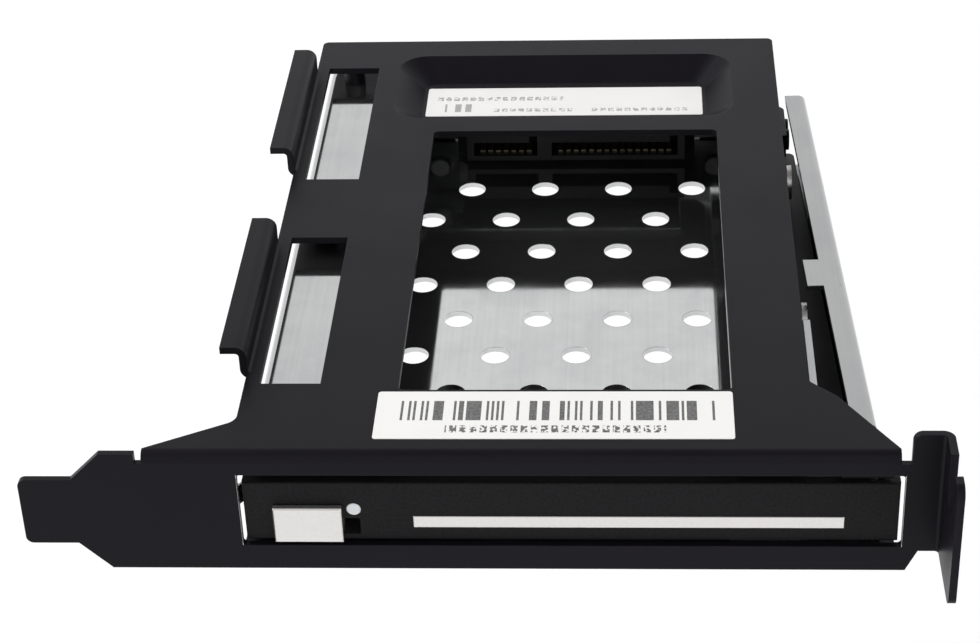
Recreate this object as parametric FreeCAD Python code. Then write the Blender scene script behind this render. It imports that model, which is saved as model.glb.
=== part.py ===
import FreeCAD, Part
import math
import os
from FreeCAD import Vector

# Removable 2.5 inch drive bay on a full-height expansion-slot bracket, in millimetres.
# While it is built, X runs from the bracket's tongue to its screw tab, Y runs back from the
# bracket's front face and Z runs up from its lower edge. The finished pieces are then moved
# so that the origin is the middle of the underside.

# Slot bracket, to the expansion-slot standard
BRACKET_LENGTH = 120.02
BRACKET_WIDTH = 18.42
SHEET = 1.0
SHEET_BEND = 0.5
TONGUE_LENGTH = 6.95
TONGUE_WIDTH = 10.19
TAB_REACH = 11.43
TAB_RISE = 3.17
TAB_CORNER = 1.5
NOTCH_WIDTH = 4.42
NOTCH_FROM_FACE = 6.35
NOTCH_DEPTH = 6.5
END_BLOCK = 5.1
END_CHAMFER = 1.5
END_CORNER = 1.2
TIP_CORNER = 1.0
FOLD_START = 16.6
LEFT_RELIEF = 0.9
RIGHT_RELIEF = 1.3

# Door opening in the bracket
OPENING_LEFT_ROOM = 1.6
OPENING_RIGHT_ROOM = 13.4
OPENING_LOW = 3.83
OPENING_UPPER_EDGE = 3.22
OPENING_CORNER = 0.5

# Top plate, folded back from the bracket
PLATE_LEFT_ROOM = 2.3
PLATE_RIGHT_ROOM = 2.0
PLATE_OVERHANG = 10.55
PLATE_CORNER = 1.0
LEFT_FLARE_DEPTH = 7.6
RIGHT_FLARE_DEPTH = 16.6
RIGHT_FLARE_STEP = 3.5
FLARE_CORNER = 2.0
WINDOW_FRONT = 14.6
WINDOW_BRIDGE = 4.5
WINDOW_LEFT_INSET = 18.4
WINDOW_RIGHT_INSET = 8.1
WINDOW_CORNER = 0.8

# Side hooks, lanced out of the plate and folded up and outwards
FRONT_HOOK_START = 16.1
FRONT_HOOK_LENGTH = 37.5
REAR_HOOK_LENGTH = 36.6
REAR_HOOK_EDGE = 9.65
HOOK_WINDOW_REACH = 10.2
HOOK_STRIP = 2.0
HOOK_WALL_OUT = 0.4
HOOK_HEIGHT = 4.0
HOOK_REACH = 3.0
HOOK_FRONT_ROOM = 2.6
HOOK_REAR_ROOM = 1.0

# Label pocket pressed into the rear of the plate
POCKET_LENGTH = 21.4
POCKET_REAR_EDGE = 5.5
POCKET_LEFT_INSET = 11.3
POCKET_RIGHT_INSET = 5.2
POCKET_DEPTH = 3.0
POCKET_SLOPE = 4.2
POCKET_CORNER = 4.5
POCKET_FLOOR_CORNER = 2.4

# Drive and the zinc cage around it
DRIVE_WIDTH = 69.85
DRIVE_LENGTH = 100.45
DRIVE_CENTRE = 65.6
DRIVE_SIDE_PLAY = 0.375
DRIVE_FRONT = 6.0
CONNECTOR_SHIFT = 4.8
ZINC = 0.8
ZINC_BEND = 0.4
FLOOR_TOP = 3.77
SPACER = 2.32
LEFT_FLANGE = 8.8
RIGHT_FLANGE = 8.0
RAIL_START = 5.3
RAIL_SETBACK = 4.0
FLOOR_START = 8.0
FLOOR_REAR_GAP = 0.3
FLOOR_GAP = 0.6
HOLE_RADIUS = 2.15
HOLE_PITCH_ACROSS = 11.84
HOLE_ROWS = 9
HOLES_ACROSS = 5
HOLE_FRONT_EDGE = 7.58
HOLE_REAR_EDGE = 17.7

# Black angle under the floor, with an arm to the lower hinge eye
SUPPORT_GAP = 0.5
SUPPORT_DEPTH = 42.3
SUPPORT_ARM = 4.0
SUPPORT_ARM_END = 2.8
SUPPORT_LIP = 0.4

# Slanted guard beside the right rail
GUARD_FRONT = 11.5
GUARD_SETBACK = 10.0
GUARD_FRONT_GAP = 9.15
GUARD_REAR_GAP = 5.2
GUARD_LAP = 5.8
GUARD_TOP = 2.5
KEEPER_FRONT = 45.5
KEEPER_LENGTH = 7.0
KEEPER_REACH = 2.3

# Rivets
RIVET_SHANK = 1.2
RIVET_HEAD = 2.0
RIVET_COLLAR = 1.7
RIVET_HEAD_HEIGHT = 0.5
RIVET_FIT = 0.02
RIVET_INSET = 3.5
PLATE_STUD_FRONT = 11.0
PLATE_STUD_EDGE = 7.6
FLOOR_RIVET_FRONT = 20.0
FLOOR_RIVET_EDGE = 14.4
REAR_RIVET_SPREAD = 15.0

# Rear cross-piece, circuit board and connectors
BOARD = 1.6
BOARD_GAP = 2.65
BOARD_SIDE = 6.5
BOARD_LOW = 4.1
BOARD_TOP_GAP = 0.12
BOARD_CORNER = 1.0
SCREW_INSET = 3.0
SCREW_SHANK = 1.0
SCREW_HEAD = 1.8
SCREW_HEAD_HEIGHT = 0.9
SCREW_CHAMFER = 0.3
REAR_FLANGE_INSET = 6.4
REAR_FLANGE_TRIM = 10.1
SOCKET_ENTRY = 5.75
SOCKET_WIDTH = 39.0
SOCKET_LOW = 4.6
SOCKET_HEIGHT = 5.6
SOCKET_HORN = 1.6
DATA_WIDTH = 10.4
POWER_WIDTH = 20.6
SEGMENT_GAP = 2.4
SLOT_HEIGHT = 2.4
SLOT_DEPTH = 5.0
KEY_WIDTH = 1.3
KEY_HEIGHT = 1.4
CONTACT_PITCH = 1.27
CONTACT_WIDTH = 0.8
CONTACT_THICKNESS = 0.3
DATA_CONTACTS = 7
POWER_CONTACTS = 15
PLUG_DEPTH = 5.8
PLUG_WALL = 1.0
PLUG_SKIN = 0.5
PLUG_TONGUE = 1.2

# Door, its hinge and its crank
DOOR_SIDE_GAP = 0.45
DOOR_EDGE_GAP = 0.3
DOOR_TOP_GAP = 1.8
DOOR_RECESS = 0.8
DOOR_WALL = 1.6
DOOR_DEPTH = 3.5
DOOR_RIB = 1.0
DOOR_EDGE_ROUND = 0.3
HINGE_FROM_RIGHT = 3.5
HINGE_BACK = 3.0
HINGE_PIN = 0.8
HINGE_FIT = 0.05
HINGE_PLAY = 0.1
BARREL = 1.9
BARREL_GAP = 0.3
WASHER = 1.3
WASHER_RELIEF = 1.6
HINGE_BLOCK_LEFT = 4.5
HINGE_BLOCK_RIGHT = 2.2
HINGE_BLOCK_DEPTH = 5.2
HINGE_BLOCK_GAP = 0.35
HINGE_STUD_ASIDE = 2.8
HINGE_STUD_BEHIND = 1.4
CRANK_RADIUS = 6.0
CRANK_PIN = 1.0
CRANK_PLATE = 2.0
CRANK_LOW = 6.0
CRANK_BOSS = 1.8
ACCENT_FROM_LEFT = 22.05
ACCENT_FROM_RIGHT = 6.95
ACCENT_LOW = 6.3
ACCENT_HEIGHT = 1.8
ACCENT_SINK = 0.5
ACCENT_PROUD = 0.2
LENS_FROM_LEFT = 14.35
LENS_UP = 9.1
LENS_RADIUS = 1.0
LENS_ROUND = 0.15

# Release slider and latch spring in the door
SLIDER_FROM_LEFT = 3.85
SLIDER_LENGTH = 9.0
SLIDER_LOW = 4.4
SLIDER_HEIGHT = 5.5
SLIDER_CAP = 0.9
SLIDER_GAP = 0.15
SLIDER_TRAVEL = 2.0
SLIDER_CHAMFER = 0.2
NECK_INSET = 2.0
NECK_LOW = 5.35
NECK_HEIGHT = 2.1
NECK_CLEARANCE = 0.25
SLIDER_PLATE = 0.8
SLIDER_PLATE_LAP = 0.5
SLIDER_FINGER = 1.2
SLIDER_FINGER_REACH = 1.3
SPRING = 0.35
SPRING_BEND = 0.35
SPRING_HEIGHT = 2.9
SPRING_EDGE_GAP = 0.3
SPRING_LENGTH = 28.85
SPRING_LOOP_FROM_LEFT = 18.85
SPRING_LOOP_WIDTH = 2.4
SPRING_LOOP_RISE = 1.3
SPRING_NOTCH_GAP = 0.4
LATCH_LAP = 0.6
LATCH_GAP = 0.3
LATCH_RIVET = 0.6
LATCH_RIVET_HEAD = 1.1
LATCH_RIVET_INSET = 1.4

# Ejector beside the right rail
SLIDE_GAP = 0.3
SLIDE_THICKNESS = 1.6
SLIDE_FRONT = 20.0
SLIDE_LOW = 4.6
SLIDE_HEIGHT = 8.0
SLIDE_CORNER = 1.0
SLIDE_END_GAP = 0.1
SLIDE_FOOT = 1.0
SLIDE_FOOT_GAP = 0.8
SLIDE_FOOT_FRONT = 24.0
SLIDE_FOOT_EDGE = 4.35
SLIDE_RIVET_FRONT = 46.0
SLIDE_RIVET_EDGE = 20.85
SLIDE_RIVET_SHANK = 1.5
SLIDE_RIVET_HEAD = 2.7
EJECTOR_SHEET = 1.0
EJECTOR_BEND = 0.4
FORK_RIVET_ROWS = (24.0, 30.0)
ARM_RIVET_EDGES = (6.85, 3.35)
FORK_PLAY = 0.35
FORK_UP = 9.0
FORK_FINGER = 1.0
FORK_TIP = 0.45
FORK_SIDE_GAP = 0.5
FORK_BEND_START = 10.5
FORK_BEND_END = 14.0
FORK_LEG_LOW = 5.0
FORK_LEG_DROP = 1.5
FORK_LEG_END = 39.5
ARM_LOW = 6.5
ARM_HEIGHT = 4.0
ARM_REACH = 6.4
ARM_DRIVE_GAP = 0.4
ARM_LEG = 9.5
ARM_SLOT_PLAY = 0.4

# Levels and lines that several pieces share
DRIVE_REAR = DRIVE_FRONT + DRIVE_LENGTH
LEFT_WEB = DRIVE_CENTRE - DRIVE_WIDTH / 2 - DRIVE_SIDE_PLAY
RIGHT_WEB = DRIVE_CENTRE + DRIVE_WIDTH / 2 + DRIVE_SIDE_PLAY
PLATE_UNDER = BRACKET_WIDTH - SHEET
PLATE_START = LEFT_WEB - PLATE_LEFT_ROOM
PLATE_END = RIGHT_WEB + PLATE_RIGHT_ROOM
PLATE_DEPTH = DRIVE_REAR + PLATE_OVERHANG
BLOCK_START = BRACKET_LENGTH - END_BLOCK
FOLD_END = BLOCK_START - RIGHT_RELIEF
FOLD_DEPTH = SHEET + SHEET_BEND
TAB_TOP = TAB_RISE + BRACKET_WIDTH
OPENING_START = LEFT_WEB - OPENING_LEFT_ROOM
OPENING_END = RIGHT_WEB + OPENING_RIGHT_ROOM
OPENING_TOP = BRACKET_WIDTH - OPENING_UPPER_EDGE
REAR_HOOK_START = PLATE_DEPTH - REAR_HOOK_EDGE - REAR_HOOK_LENGTH
HOOKS = ((FRONT_HOOK_START, FRONT_HOOK_LENGTH), (REAR_HOOK_START, REAR_HOOK_LENGTH))
POCKET_LEFT = LEFT_WEB + POCKET_LEFT_INSET
POCKET_RIGHT = RIGHT_WEB - POCKET_RIGHT_INSET
POCKET_REAR = PLATE_DEPTH - POCKET_REAR_EDGE
POCKET_FRONT = POCKET_REAR - POCKET_LENGTH
POCKET_FLOOR = BRACKET_WIDTH - POCKET_DEPTH
POCKET_UNDER = POCKET_FLOOR - SHEET
CAGE_TOP = PLATE_UNDER - SPACER
RAIL_END = PLATE_DEPTH - RAIL_SETBACK
BOARD_FRONT = DRIVE_REAR + BOARD_GAP
REAR_WEB = BOARD_FRONT + BOARD
FLOOR_END = REAR_WEB - FLOOR_REAR_GAP
FLOOR_UNDER = FLOOR_TOP - ZINC
RAIL_LOW = FLOOR_UNDER - ZINC
GUARD_LOW = RAIL_LOW - ZINC
GUARD_LENGTH = RAIL_END - GUARD_SETBACK - GUARD_FRONT
GUARD_SLANT = (GUARD_FRONT_GAP - GUARD_REAR_GAP) / GUARD_LENGTH
HOLE_REAR_ROW = FLOOR_END - HOLE_REAR_EDGE
HOLE_PITCH_ALONG = (HOLE_REAR_ROW - FLOOR_START - HOLE_FRONT_EDGE) / (HOLE_ROWS - 1)
PLATE_STUD_MIDDLE = (FRONT_HOOK_START + FRONT_HOOK_LENGTH + REAR_HOOK_START) / 2
PLATE_STUD_ROWS = (PLATE_STUD_FRONT, PLATE_STUD_MIDDLE, PLATE_DEPTH - PLATE_STUD_EDGE)
FLOOR_RIVET_REAR = FLOOR_END - FLOOR_RIVET_EDGE
FLOOR_RIVET_ROWS = (FLOOR_RIVET_FRONT, (FLOOR_RIVET_FRONT + FLOOR_RIVET_REAR) / 2, FLOOR_RIVET_REAR)
REAR_WEB_TOP = POCKET_UNDER - ZINC - ZINC_BEND
SOCKET_CENTRE = DRIVE_CENTRE + CONNECTOR_SHIFT
SOCKET_FRONT = DRIVE_REAR - SOCKET_ENTRY
SOCKET_TOP = SOCKET_LOW + SOCKET_HEIGHT
BOARD_TOP = REAR_WEB_TOP - BOARD_TOP_GAP
BOARD_HALF = SOCKET_WIDTH / 2 + BOARD_SIDE
DOOR_START = OPENING_START + DOOR_SIDE_GAP
DOOR_END = OPENING_END - DOOR_SIDE_GAP
DOOR_LOW = OPENING_LOW + DOOR_EDGE_GAP
DOOR_TOP = OPENING_TOP - DOOR_TOP_GAP
DOOR_WALL_BACK = DOOR_RECESS + DOOR_WALL
DOOR_BACK = DOOR_RECESS + DOOR_DEPTH
BARREL_LOW = DOOR_LOW + BARREL_GAP
BARREL_TOP = DOOR_TOP - BARREL_GAP
HINGE_ACROSS = OPENING_END - HINGE_FROM_RIGHT
HINGE_BLOCK_LOW = DOOR_TOP + HINGE_BLOCK_GAP
CRANK_ACROSS = HINGE_ACROSS - CRANK_RADIUS * math.sqrt(0.5)
CRANK_BACK = HINGE_BACK + CRANK_RADIUS * math.sqrt(0.5)
CRANK_BAY = HINGE_ACROSS - CRANK_RADIUS - CRANK_BOSS - DOOR_RIB
EJECT_TRAVEL = CRANK_RADIUS * math.sqrt(2.0)
ACCENT_START = DOOR_START + ACCENT_FROM_LEFT
ACCENT_END = DOOR_END - ACCENT_FROM_RIGHT
LENS_ACROSS = DOOR_START + LENS_FROM_LEFT
SLIDER_START = DOOR_START + SLIDER_FROM_LEFT
SLIDER_END = SLIDER_START + SLIDER_LENGTH
NECK_TOP = NECK_LOW + NECK_HEIGHT
SPRING_TOP = DOOR_TOP - DOOR_RIB - SPRING_EDGE_GAP
SPRING_LOW = SPRING_TOP - SPRING_HEIGHT
SPRING_END = DOOR_START + SPRING_LENGTH
SPRING_LOOP = DOOR_START + SPRING_LOOP_FROM_LEFT
FINGER_TOP = SPRING_LOW + SLIDER_FINGER_REACH
SLIDE_SIDE = RIGHT_WEB + ZINC + SLIDE_GAP
SLIDE_FACE = SLIDE_SIDE + SLIDE_THICKNESS
SLIDE_MIDDLE = SLIDE_LOW + SLIDE_HEIGHT / 2
ARM_FACE = DRIVE_REAR + ARM_DRIVE_GAP
ARM_TOP = ARM_LOW + ARM_HEIGHT
SLIDE_RIVET_ROWS = (SLIDE_RIVET_FRONT, ARM_FACE - SLIDE_RIVET_EDGE)
EJECTOR_RIVET_ROWS = FORK_RIVET_ROWS + tuple(ARM_FACE - edge for edge in ARM_RIVET_EDGES)
FORK_LEG_TOP = CAGE_TOP - FORK_LEG_DROP
ORIGIN = Vector(-BRACKET_LENGTH / 2, (TAB_REACH - PLATE_DEPTH) / 2, 0)

# How a flat outline is stood in each pair of axes, the way it is extruded, and a cut's overrun
TURN = {
    "xy": FreeCAD.Rotation(),
    "xz": FreeCAD.Rotation(Vector(1, 0, 0), 90),
    "yz": FreeCAD.Rotation(Vector(1, 1, 1), 120),
}
ALONG = {"xy": Vector(0, 0, 1), "xz": Vector(0, 1, 0), "yz": Vector(1, 0, 0)}
CUT = 5.0
NEAR = 1e-6
ROUND_END = 0.98


def rounded_corner(before, point, after, radius):
    """Start, middle and end of the arc that rounds a corner, and the way from the corner to its centre."""
    back = Vector(before - point).normalize()
    onward = Vector(after - point).normalize()
    half = back.getAngle(onward) / 2
    inward = Vector(back + onward).normalize()
    middle = point + inward * (radius / math.sin(half) - radius)
    reach = radius / math.tan(half)
    return point + back * reach, middle, point + onward * reach, inward


def add_line(edges, start, end):
    """Adds a straight edge, unless its two ends are the same point."""
    if start.distanceToPoint(end) > NEAR:
        edges.append(Part.makeLine(start, end))


def outline(points):
    """A flat face from its corners in order, each (u, v) or (u, v, corner radius)."""
    corners = [Vector(point[0], point[1], 0) for point in points]
    arcs = []
    for index, point in enumerate(points):
        if len(point) == 2:
            arcs.append((corners[index], None, corners[index]))
            continue
        after = corners[(index + 1) % len(points)]
        arcs.append(rounded_corner(corners[index - 1], corners[index], after, point[2])[:3])
    edges = []
    for index, (start, middle, end) in enumerate(arcs):
        if middle is not None:
            edges.append(Part.Arc(start, middle, end).toShape())
        add_line(edges, end, arcs[(index + 1) % len(arcs)][0])
    return Part.Face(Part.Wire(edges))


def rectangle(u0, u1, v0, v1, radius=0.0):
    """A flat rectangle, with rounded corners where a radius is given."""
    corners = ((u0, v0), (u1, v0), (u1, v1), (u0, v1))
    if radius == 0.0:
        return outline(corners)
    return outline([(u, v, radius) for u, v in corners])


def strip(path, thickness, bend):
    """The edge-on face of a bent sheet, from its middle line's corners and its inside bend radius."""
    points = [Vector(u, v, 0) for u, v in path]
    half = thickness / 2
    ways = [Vector(end - start).normalize() for start, end in zip(points, points[1:])]
    normals = [Vector(-way.y, way.x, 0) for way in ways]
    edges = []
    tips = []
    for side in (half, -half):
        here = points[0] + normals[0] * side
        tips.append(here)
        for index in range(1, len(points) - 1):
            start, middle, end, inward = rounded_corner(
                points[index - 1], points[index], points[index + 1], bend + half)
            turn = math.copysign(1, normals[index - 1].dot(inward))
            add_line(edges, here, start + normals[index - 1] * side)
            here = end + normals[index] * side
            arc = Part.Arc(start + normals[index - 1] * side, middle + inward * (side * turn), here)
            edges.append(arc.toShape())
        tips.append(points[-1] + normals[-1] * side)
        add_line(edges, here, tips[-1])
    add_line(edges, tips[0], tips[2])
    add_line(edges, tips[1], tips[3])
    return Part.Face(Part.Wire(Part.__sortEdges__(edges)))


def raised(face, plane, start, end):
    """A flat face stood in a pair of axes and extruded from one level to another."""
    face.Placement = FreeCAD.Placement(ALONG[plane] * start, TURN[plane])
    return face.extrude(ALONG[plane] * (end - start))


def block(x0, x1, y0, y1, z0, z1):
    """A plain box between two corners."""
    return Part.makeBox(x1 - x0, y1 - y0, z1 - z0, Vector(x0, y0, z0))


def rod(plane, u, v, radius, start, end):
    """A cylinder at a point of a pair of axes, from one level to another on the third."""
    foot = TURN[plane].multVec(Vector(u, v, 0)) + ALONG[plane] * start
    return Part.makeCylinder(radius, end - start, foot, ALONG[plane])


def fused(shapes):
    """Several solids joined into one, with its split faces merged."""
    return shapes[0].fuse(shapes[1:]).removeSplitter()


def softened(shape, radius, wanted):
    """A solid with the chosen edges rounded."""
    return shape.makeFillet(radius, [edge for edge in shape.Edges if wanted(edge)])


def chamfered(shape, size, wanted):
    """A solid with the chosen edges bevelled."""
    return shape.makeChamfer(size, [edge for edge in shape.Edges if wanted(edge)])


def sunk_rivet(across, along, top, foot, grow=0.0):
    """A rivet with its head flush in a black sheet's upper face and its shank down to a level."""
    level = top - SHEET / 2
    head = Part.makeCone(RIVET_SHANK + grow, RIVET_HEAD + grow, SHEET / 2, Vector(across, along, level))
    return rod("xy", across, along, RIVET_SHANK + grow, foot, level).fuse(head)


def bracket_face():
    """The flat of the bracket: tongue, body and raised end block, with the door opening."""
    tongue_low = (BRACKET_WIDTH - TONGUE_WIDTH) / 2
    shoulder = TONGUE_LENGTH + tongue_low
    tab_bend = BRACKET_LENGTH - FOLD_DEPTH
    face = outline([
        (0, tongue_low, TIP_CORNER),
        (TONGUE_LENGTH, tongue_low),
        (shoulder, 0),
        (BLOCK_START, 0),
        (BLOCK_START + END_CHAMFER, TAB_RISE),
        (tab_bend, TAB_RISE),
        (tab_bend, TAB_TOP),
        (BLOCK_START, TAB_TOP, END_CORNER),
        (BLOCK_START, BRACKET_WIDTH - FOLD_DEPTH),
        (FOLD_START - LEFT_RELIEF, BRACKET_WIDTH - FOLD_DEPTH),
        (FOLD_START - LEFT_RELIEF, BRACKET_WIDTH),
        (shoulder, BRACKET_WIDTH),
        (TONGUE_LENGTH, tongue_low + TONGUE_WIDTH),
        (0, tongue_low + TONGUE_WIDTH, TIP_CORNER),
    ])
    opening = rectangle(OPENING_START, OPENING_END, OPENING_LOW, OPENING_TOP, OPENING_CORNER)
    return raised(face, "xz", 0, SHEET).cut(raised(opening, "xz", -CUT, SHEET + CUT))


def screw_tab():
    """The tab that turns forward at the bracket's end, with its open screw notch."""
    middle = BRACKET_LENGTH - SHEET / 2
    path = ((BRACKET_LENGTH - FOLD_DEPTH, SHEET / 2), (middle, SHEET / 2), (middle, -TAB_REACH))
    tab = raised(strip(path, SHEET, SHEET_BEND), "xy", TAB_RISE, TAB_TOP)
    front = [edge for edge in tab.Edges if abs(edge.CenterOfMass.y + TAB_REACH) < NEAR]
    tab = tab.makeFillet(TAB_CORNER, [edge for edge in front if abs(edge.BoundBox.XLength - SHEET) < NEAR])
    half = NOTCH_WIDTH / 2
    notch_foot = TAB_TOP - NOTCH_DEPTH
    notch = outline([
        (-NOTCH_FROM_FACE - half, notch_foot, half * ROUND_END),
        (-NOTCH_FROM_FACE + half, notch_foot, half * ROUND_END),
        (-NOTCH_FROM_FACE + half, TAB_TOP + CUT),
        (-NOTCH_FROM_FACE - half, TAB_TOP + CUT),
    ])
    return tab.cut(raised(notch, "yz", BLOCK_START, BRACKET_LENGTH + CUT))


def plate_flat():
    """The flat of the top plate, with its flared front corners and its windows."""
    plate = raised(outline([
        (FOLD_START, FOLD_DEPTH),
        (FOLD_END, FOLD_DEPTH),
        (PLATE_END + RIGHT_FLARE_STEP, RIGHT_FLARE_DEPTH - RIGHT_FLARE_STEP, FLARE_CORNER),
        (PLATE_END, RIGHT_FLARE_DEPTH, PLATE_CORNER),
        (PLATE_END, PLATE_DEPTH, PLATE_CORNER),
        (PLATE_START, PLATE_DEPTH, PLATE_CORNER),
        (PLATE_START, LEFT_FLARE_DEPTH, FLARE_CORNER),
    ]), "xy", PLATE_UNDER, BRACKET_WIDTH)
    windows = [rectangle(LEFT_WEB + WINDOW_LEFT_INSET, RIGHT_WEB - WINDOW_RIGHT_INSET,
                         WINDOW_FRONT, POCKET_FRONT - WINDOW_BRIDGE, WINDOW_CORNER)]
    for front, length in HOOKS:
        right = PLATE_START + HOOK_WINDOW_REACH
        windows.append(rectangle(PLATE_START + HOOK_STRIP, right, front, front + length))
    return plate.cut([raised(window, "xy", PLATE_UNDER - CUT, BRACKET_WIDTH + CUT) for window in windows])


def side_hook(front, length):
    """One hook: off the strip beside a window, up past the plate's edge, and outwards."""
    level = BRACKET_WIDTH - SHEET / 2
    wall = PLATE_START - HOOK_WALL_OUT
    path = ((PLATE_START + HOOK_STRIP, level), (wall, level), (wall, level + HOOK_HEIGHT),
            (wall - HOOK_REACH, level + HOOK_HEIGHT))
    face = strip(path, SHEET, SHEET_BEND)
    return raised(face, "xz", front + HOOK_FRONT_ROOM, front + length - HOOK_REAR_ROOM)


def pocket_form(level, grow):
    """The pressed pocket as a solid that tapers down from a level of the plate."""
    wires = []
    for down, inset, corner in ((0, 0, POCKET_CORNER), (POCKET_DEPTH, POCKET_SLOPE, POCKET_FLOOR_CORNER)):
        face = rectangle(POCKET_LEFT - grow + inset, POCKET_RIGHT + grow - inset,
                         POCKET_FRONT - grow + inset, POCKET_REAR + grow - inset, corner + grow)
        face.translate(Vector(0, 0, level - down))
        wires.append(face.OuterWire)
    return Part.makeLoft(wires, True, True)


def rail_rivet_lines():
    """Where the rivets of the two rails stand across the bay."""
    return LEFT_WEB + RIVET_INSET, RIGHT_WEB - RIVET_INSET


def hinge_stud_place():
    """Plan place of the rivet that holds the hinge block under the plate."""
    return HINGE_ACROSS - HINGE_STUD_ASIDE, HINGE_BACK + HINGE_STUD_BEHIND


def rear_rivet_places():
    """Plan places of the rivets in the pocket's floor."""
    row = (POCKET_FRONT + POCKET_REAR) / 2
    return (DRIVE_CENTRE - REAR_RIVET_SPREAD, row), (DRIVE_CENTRE + REAR_RIVET_SPREAD, row)


def slot_plate():
    """Bracket, tab, top plate, hooks and pocket, formed from one black sheet."""
    level = BRACKET_WIDTH - SHEET / 2
    fold_path = ((SHEET / 2, BRACKET_WIDTH - FOLD_DEPTH), (SHEET / 2, level), (FOLD_DEPTH, level))
    fold = raised(strip(fold_path, SHEET, SHEET_BEND), "yz", FOLD_START, FOLD_END)
    hooks = [side_hook(front, length) for front, length in HOOKS]
    spread = SHEET * math.tan(math.atan2(POCKET_DEPTH, POCKET_SLOPE) / 2)
    plate = fused([bracket_face(), screw_tab(), fold, plate_flat(), pocket_form(PLATE_UNDER, spread)] + hooks)
    plate = plate.cut(pocket_form(BRACKET_WIDTH, 0.0))
    return plate.cut([sunk_rivet(across, along, POCKET_FLOOR, POCKET_UNDER - CUT, RIVET_FIT)
                      for across, along in rear_rivet_places()])


def rail(web, inward, flange):
    """One C-section rail, open towards the drive, with its rivet holes."""
    middle = web - inward * ZINC / 2
    upper = CAGE_TOP - ZINC / 2
    lower = RAIL_LOW + ZINC / 2
    tip = web + inward * flange
    path = ((tip, upper), (middle, upper), (middle, lower), (tip, lower))
    shape = raised(strip(path, ZINC, ZINC_BEND), "xz", RAIL_START, RAIL_END)
    across = web + inward * RIVET_INSET
    radius = RIVET_SHANK + RIVET_FIT
    holes = [rod("xy", across, along, radius, upper - ZINC, CAGE_TOP + CUT) for along in PLATE_STUD_ROWS]
    holes += [rod("xy", across, along, radius, RAIL_LOW - CUT, lower + ZINC) for along in FLOOR_RIVET_ROWS]
    return shape.cut(holes)


def left_rail():
    return rail(LEFT_WEB, 1, LEFT_FLANGE)


def right_rail():
    """The right rail, with the slot for the ejector's arm and the slide's rivet holes."""
    slot = rectangle(ARM_FACE - EJECT_TRAVEL - ARM_SLOT_PLAY, ARM_FACE + EJECTOR_SHEET + ARM_SLOT_PLAY,
                     ARM_LOW - ARM_SLOT_PLAY, ARM_TOP + ARM_SLOT_PLAY, ARM_SLOT_PLAY)
    cuts = [raised(slot, "yz", RIGHT_WEB - ZINC, SLIDE_SIDE)]
    for along in SLIDE_RIVET_ROWS:
        cuts.append(rod("yz", along, SLIDE_MIDDLE, RIVET_SHANK + RIVET_FIT, RIGHT_WEB - ZINC, SLIDE_SIDE))
    return rail(RIGHT_WEB, -1, RIGHT_FLANGE).cut(cuts)


def floor_plate():
    """The perforated floor, lying on the rails' lower flanges."""
    plate = block(LEFT_WEB + FLOOR_GAP, RIGHT_WEB - FLOOR_GAP, FLOOR_START, FLOOR_END, FLOOR_UNDER, FLOOR_TOP)
    holes = []
    for row in range(HOLE_ROWS):
        along = HOLE_REAR_ROW - row * HOLE_PITCH_ALONG
        count = HOLES_ACROSS - row % 2
        for column in range(count):
            across = DRIVE_CENTRE + (column - (count - 1) / 2) * HOLE_PITCH_ACROSS
            holes.append(rod("xy", across, along, HOLE_RADIUS, FLOOR_UNDER - CUT, FLOOR_TOP + CUT))
    for across in rail_rivet_lines():
        for along in FLOOR_RIVET_ROWS:
            hole = rod("xy", across, along, RIVET_SHANK + RIVET_FIT, FLOOR_UNDER - CUT, FLOOR_TOP + CUT)
            holes.append(hole)
    return plate.cut(holes)


def lower_support():
    """Black angle behind the bracket's lower edge and under the floor, with an arm to the hinge pin."""
    level = FLOOR_UNDER - SHEET / 2
    front = SHEET * 1.5
    left = LEFT_WEB + LEFT_FLANGE + SUPPORT_GAP
    right = RIGHT_WEB - RIGHT_FLANGE - SUPPORT_GAP
    arm_end = HINGE_ACROSS + SUPPORT_ARM_END
    path = ((front, SUPPORT_LIP), (front, level), (SUPPORT_DEPTH, level))
    angle = raised(strip(path, SHEET, SHEET_BEND), "yz", left, right)
    arm = raised(rectangle(right - SHEET, arm_end, SHEET + FOLD_DEPTH, SHEET + SUPPORT_ARM),
                 "xy", FLOOR_UNDER - SHEET, FLOOR_UNDER)
    pad = raised(rectangle(CRANK_BAY, arm_end, SHEET, SHEET + SUPPORT_ARM, SHEET_BEND),
                 "xy", FLOOR_UNDER - SHEET, FLOOR_UNDER)
    eye = rod("xy", HINGE_ACROSS, HINGE_BACK, HINGE_PIN + RIVET_FIT, 0, FLOOR_UNDER + CUT)
    wing = raised(rectangle(OPENING_START, left + SHEET, SHEET, SHEET + SUPPORT_ARM, SHEET_BEND),
                  "xy", FLOOR_UNDER - SHEET, FLOOR_UNDER)
    return fused([angle, arm, pad, wing]).cut(eye)


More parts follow.
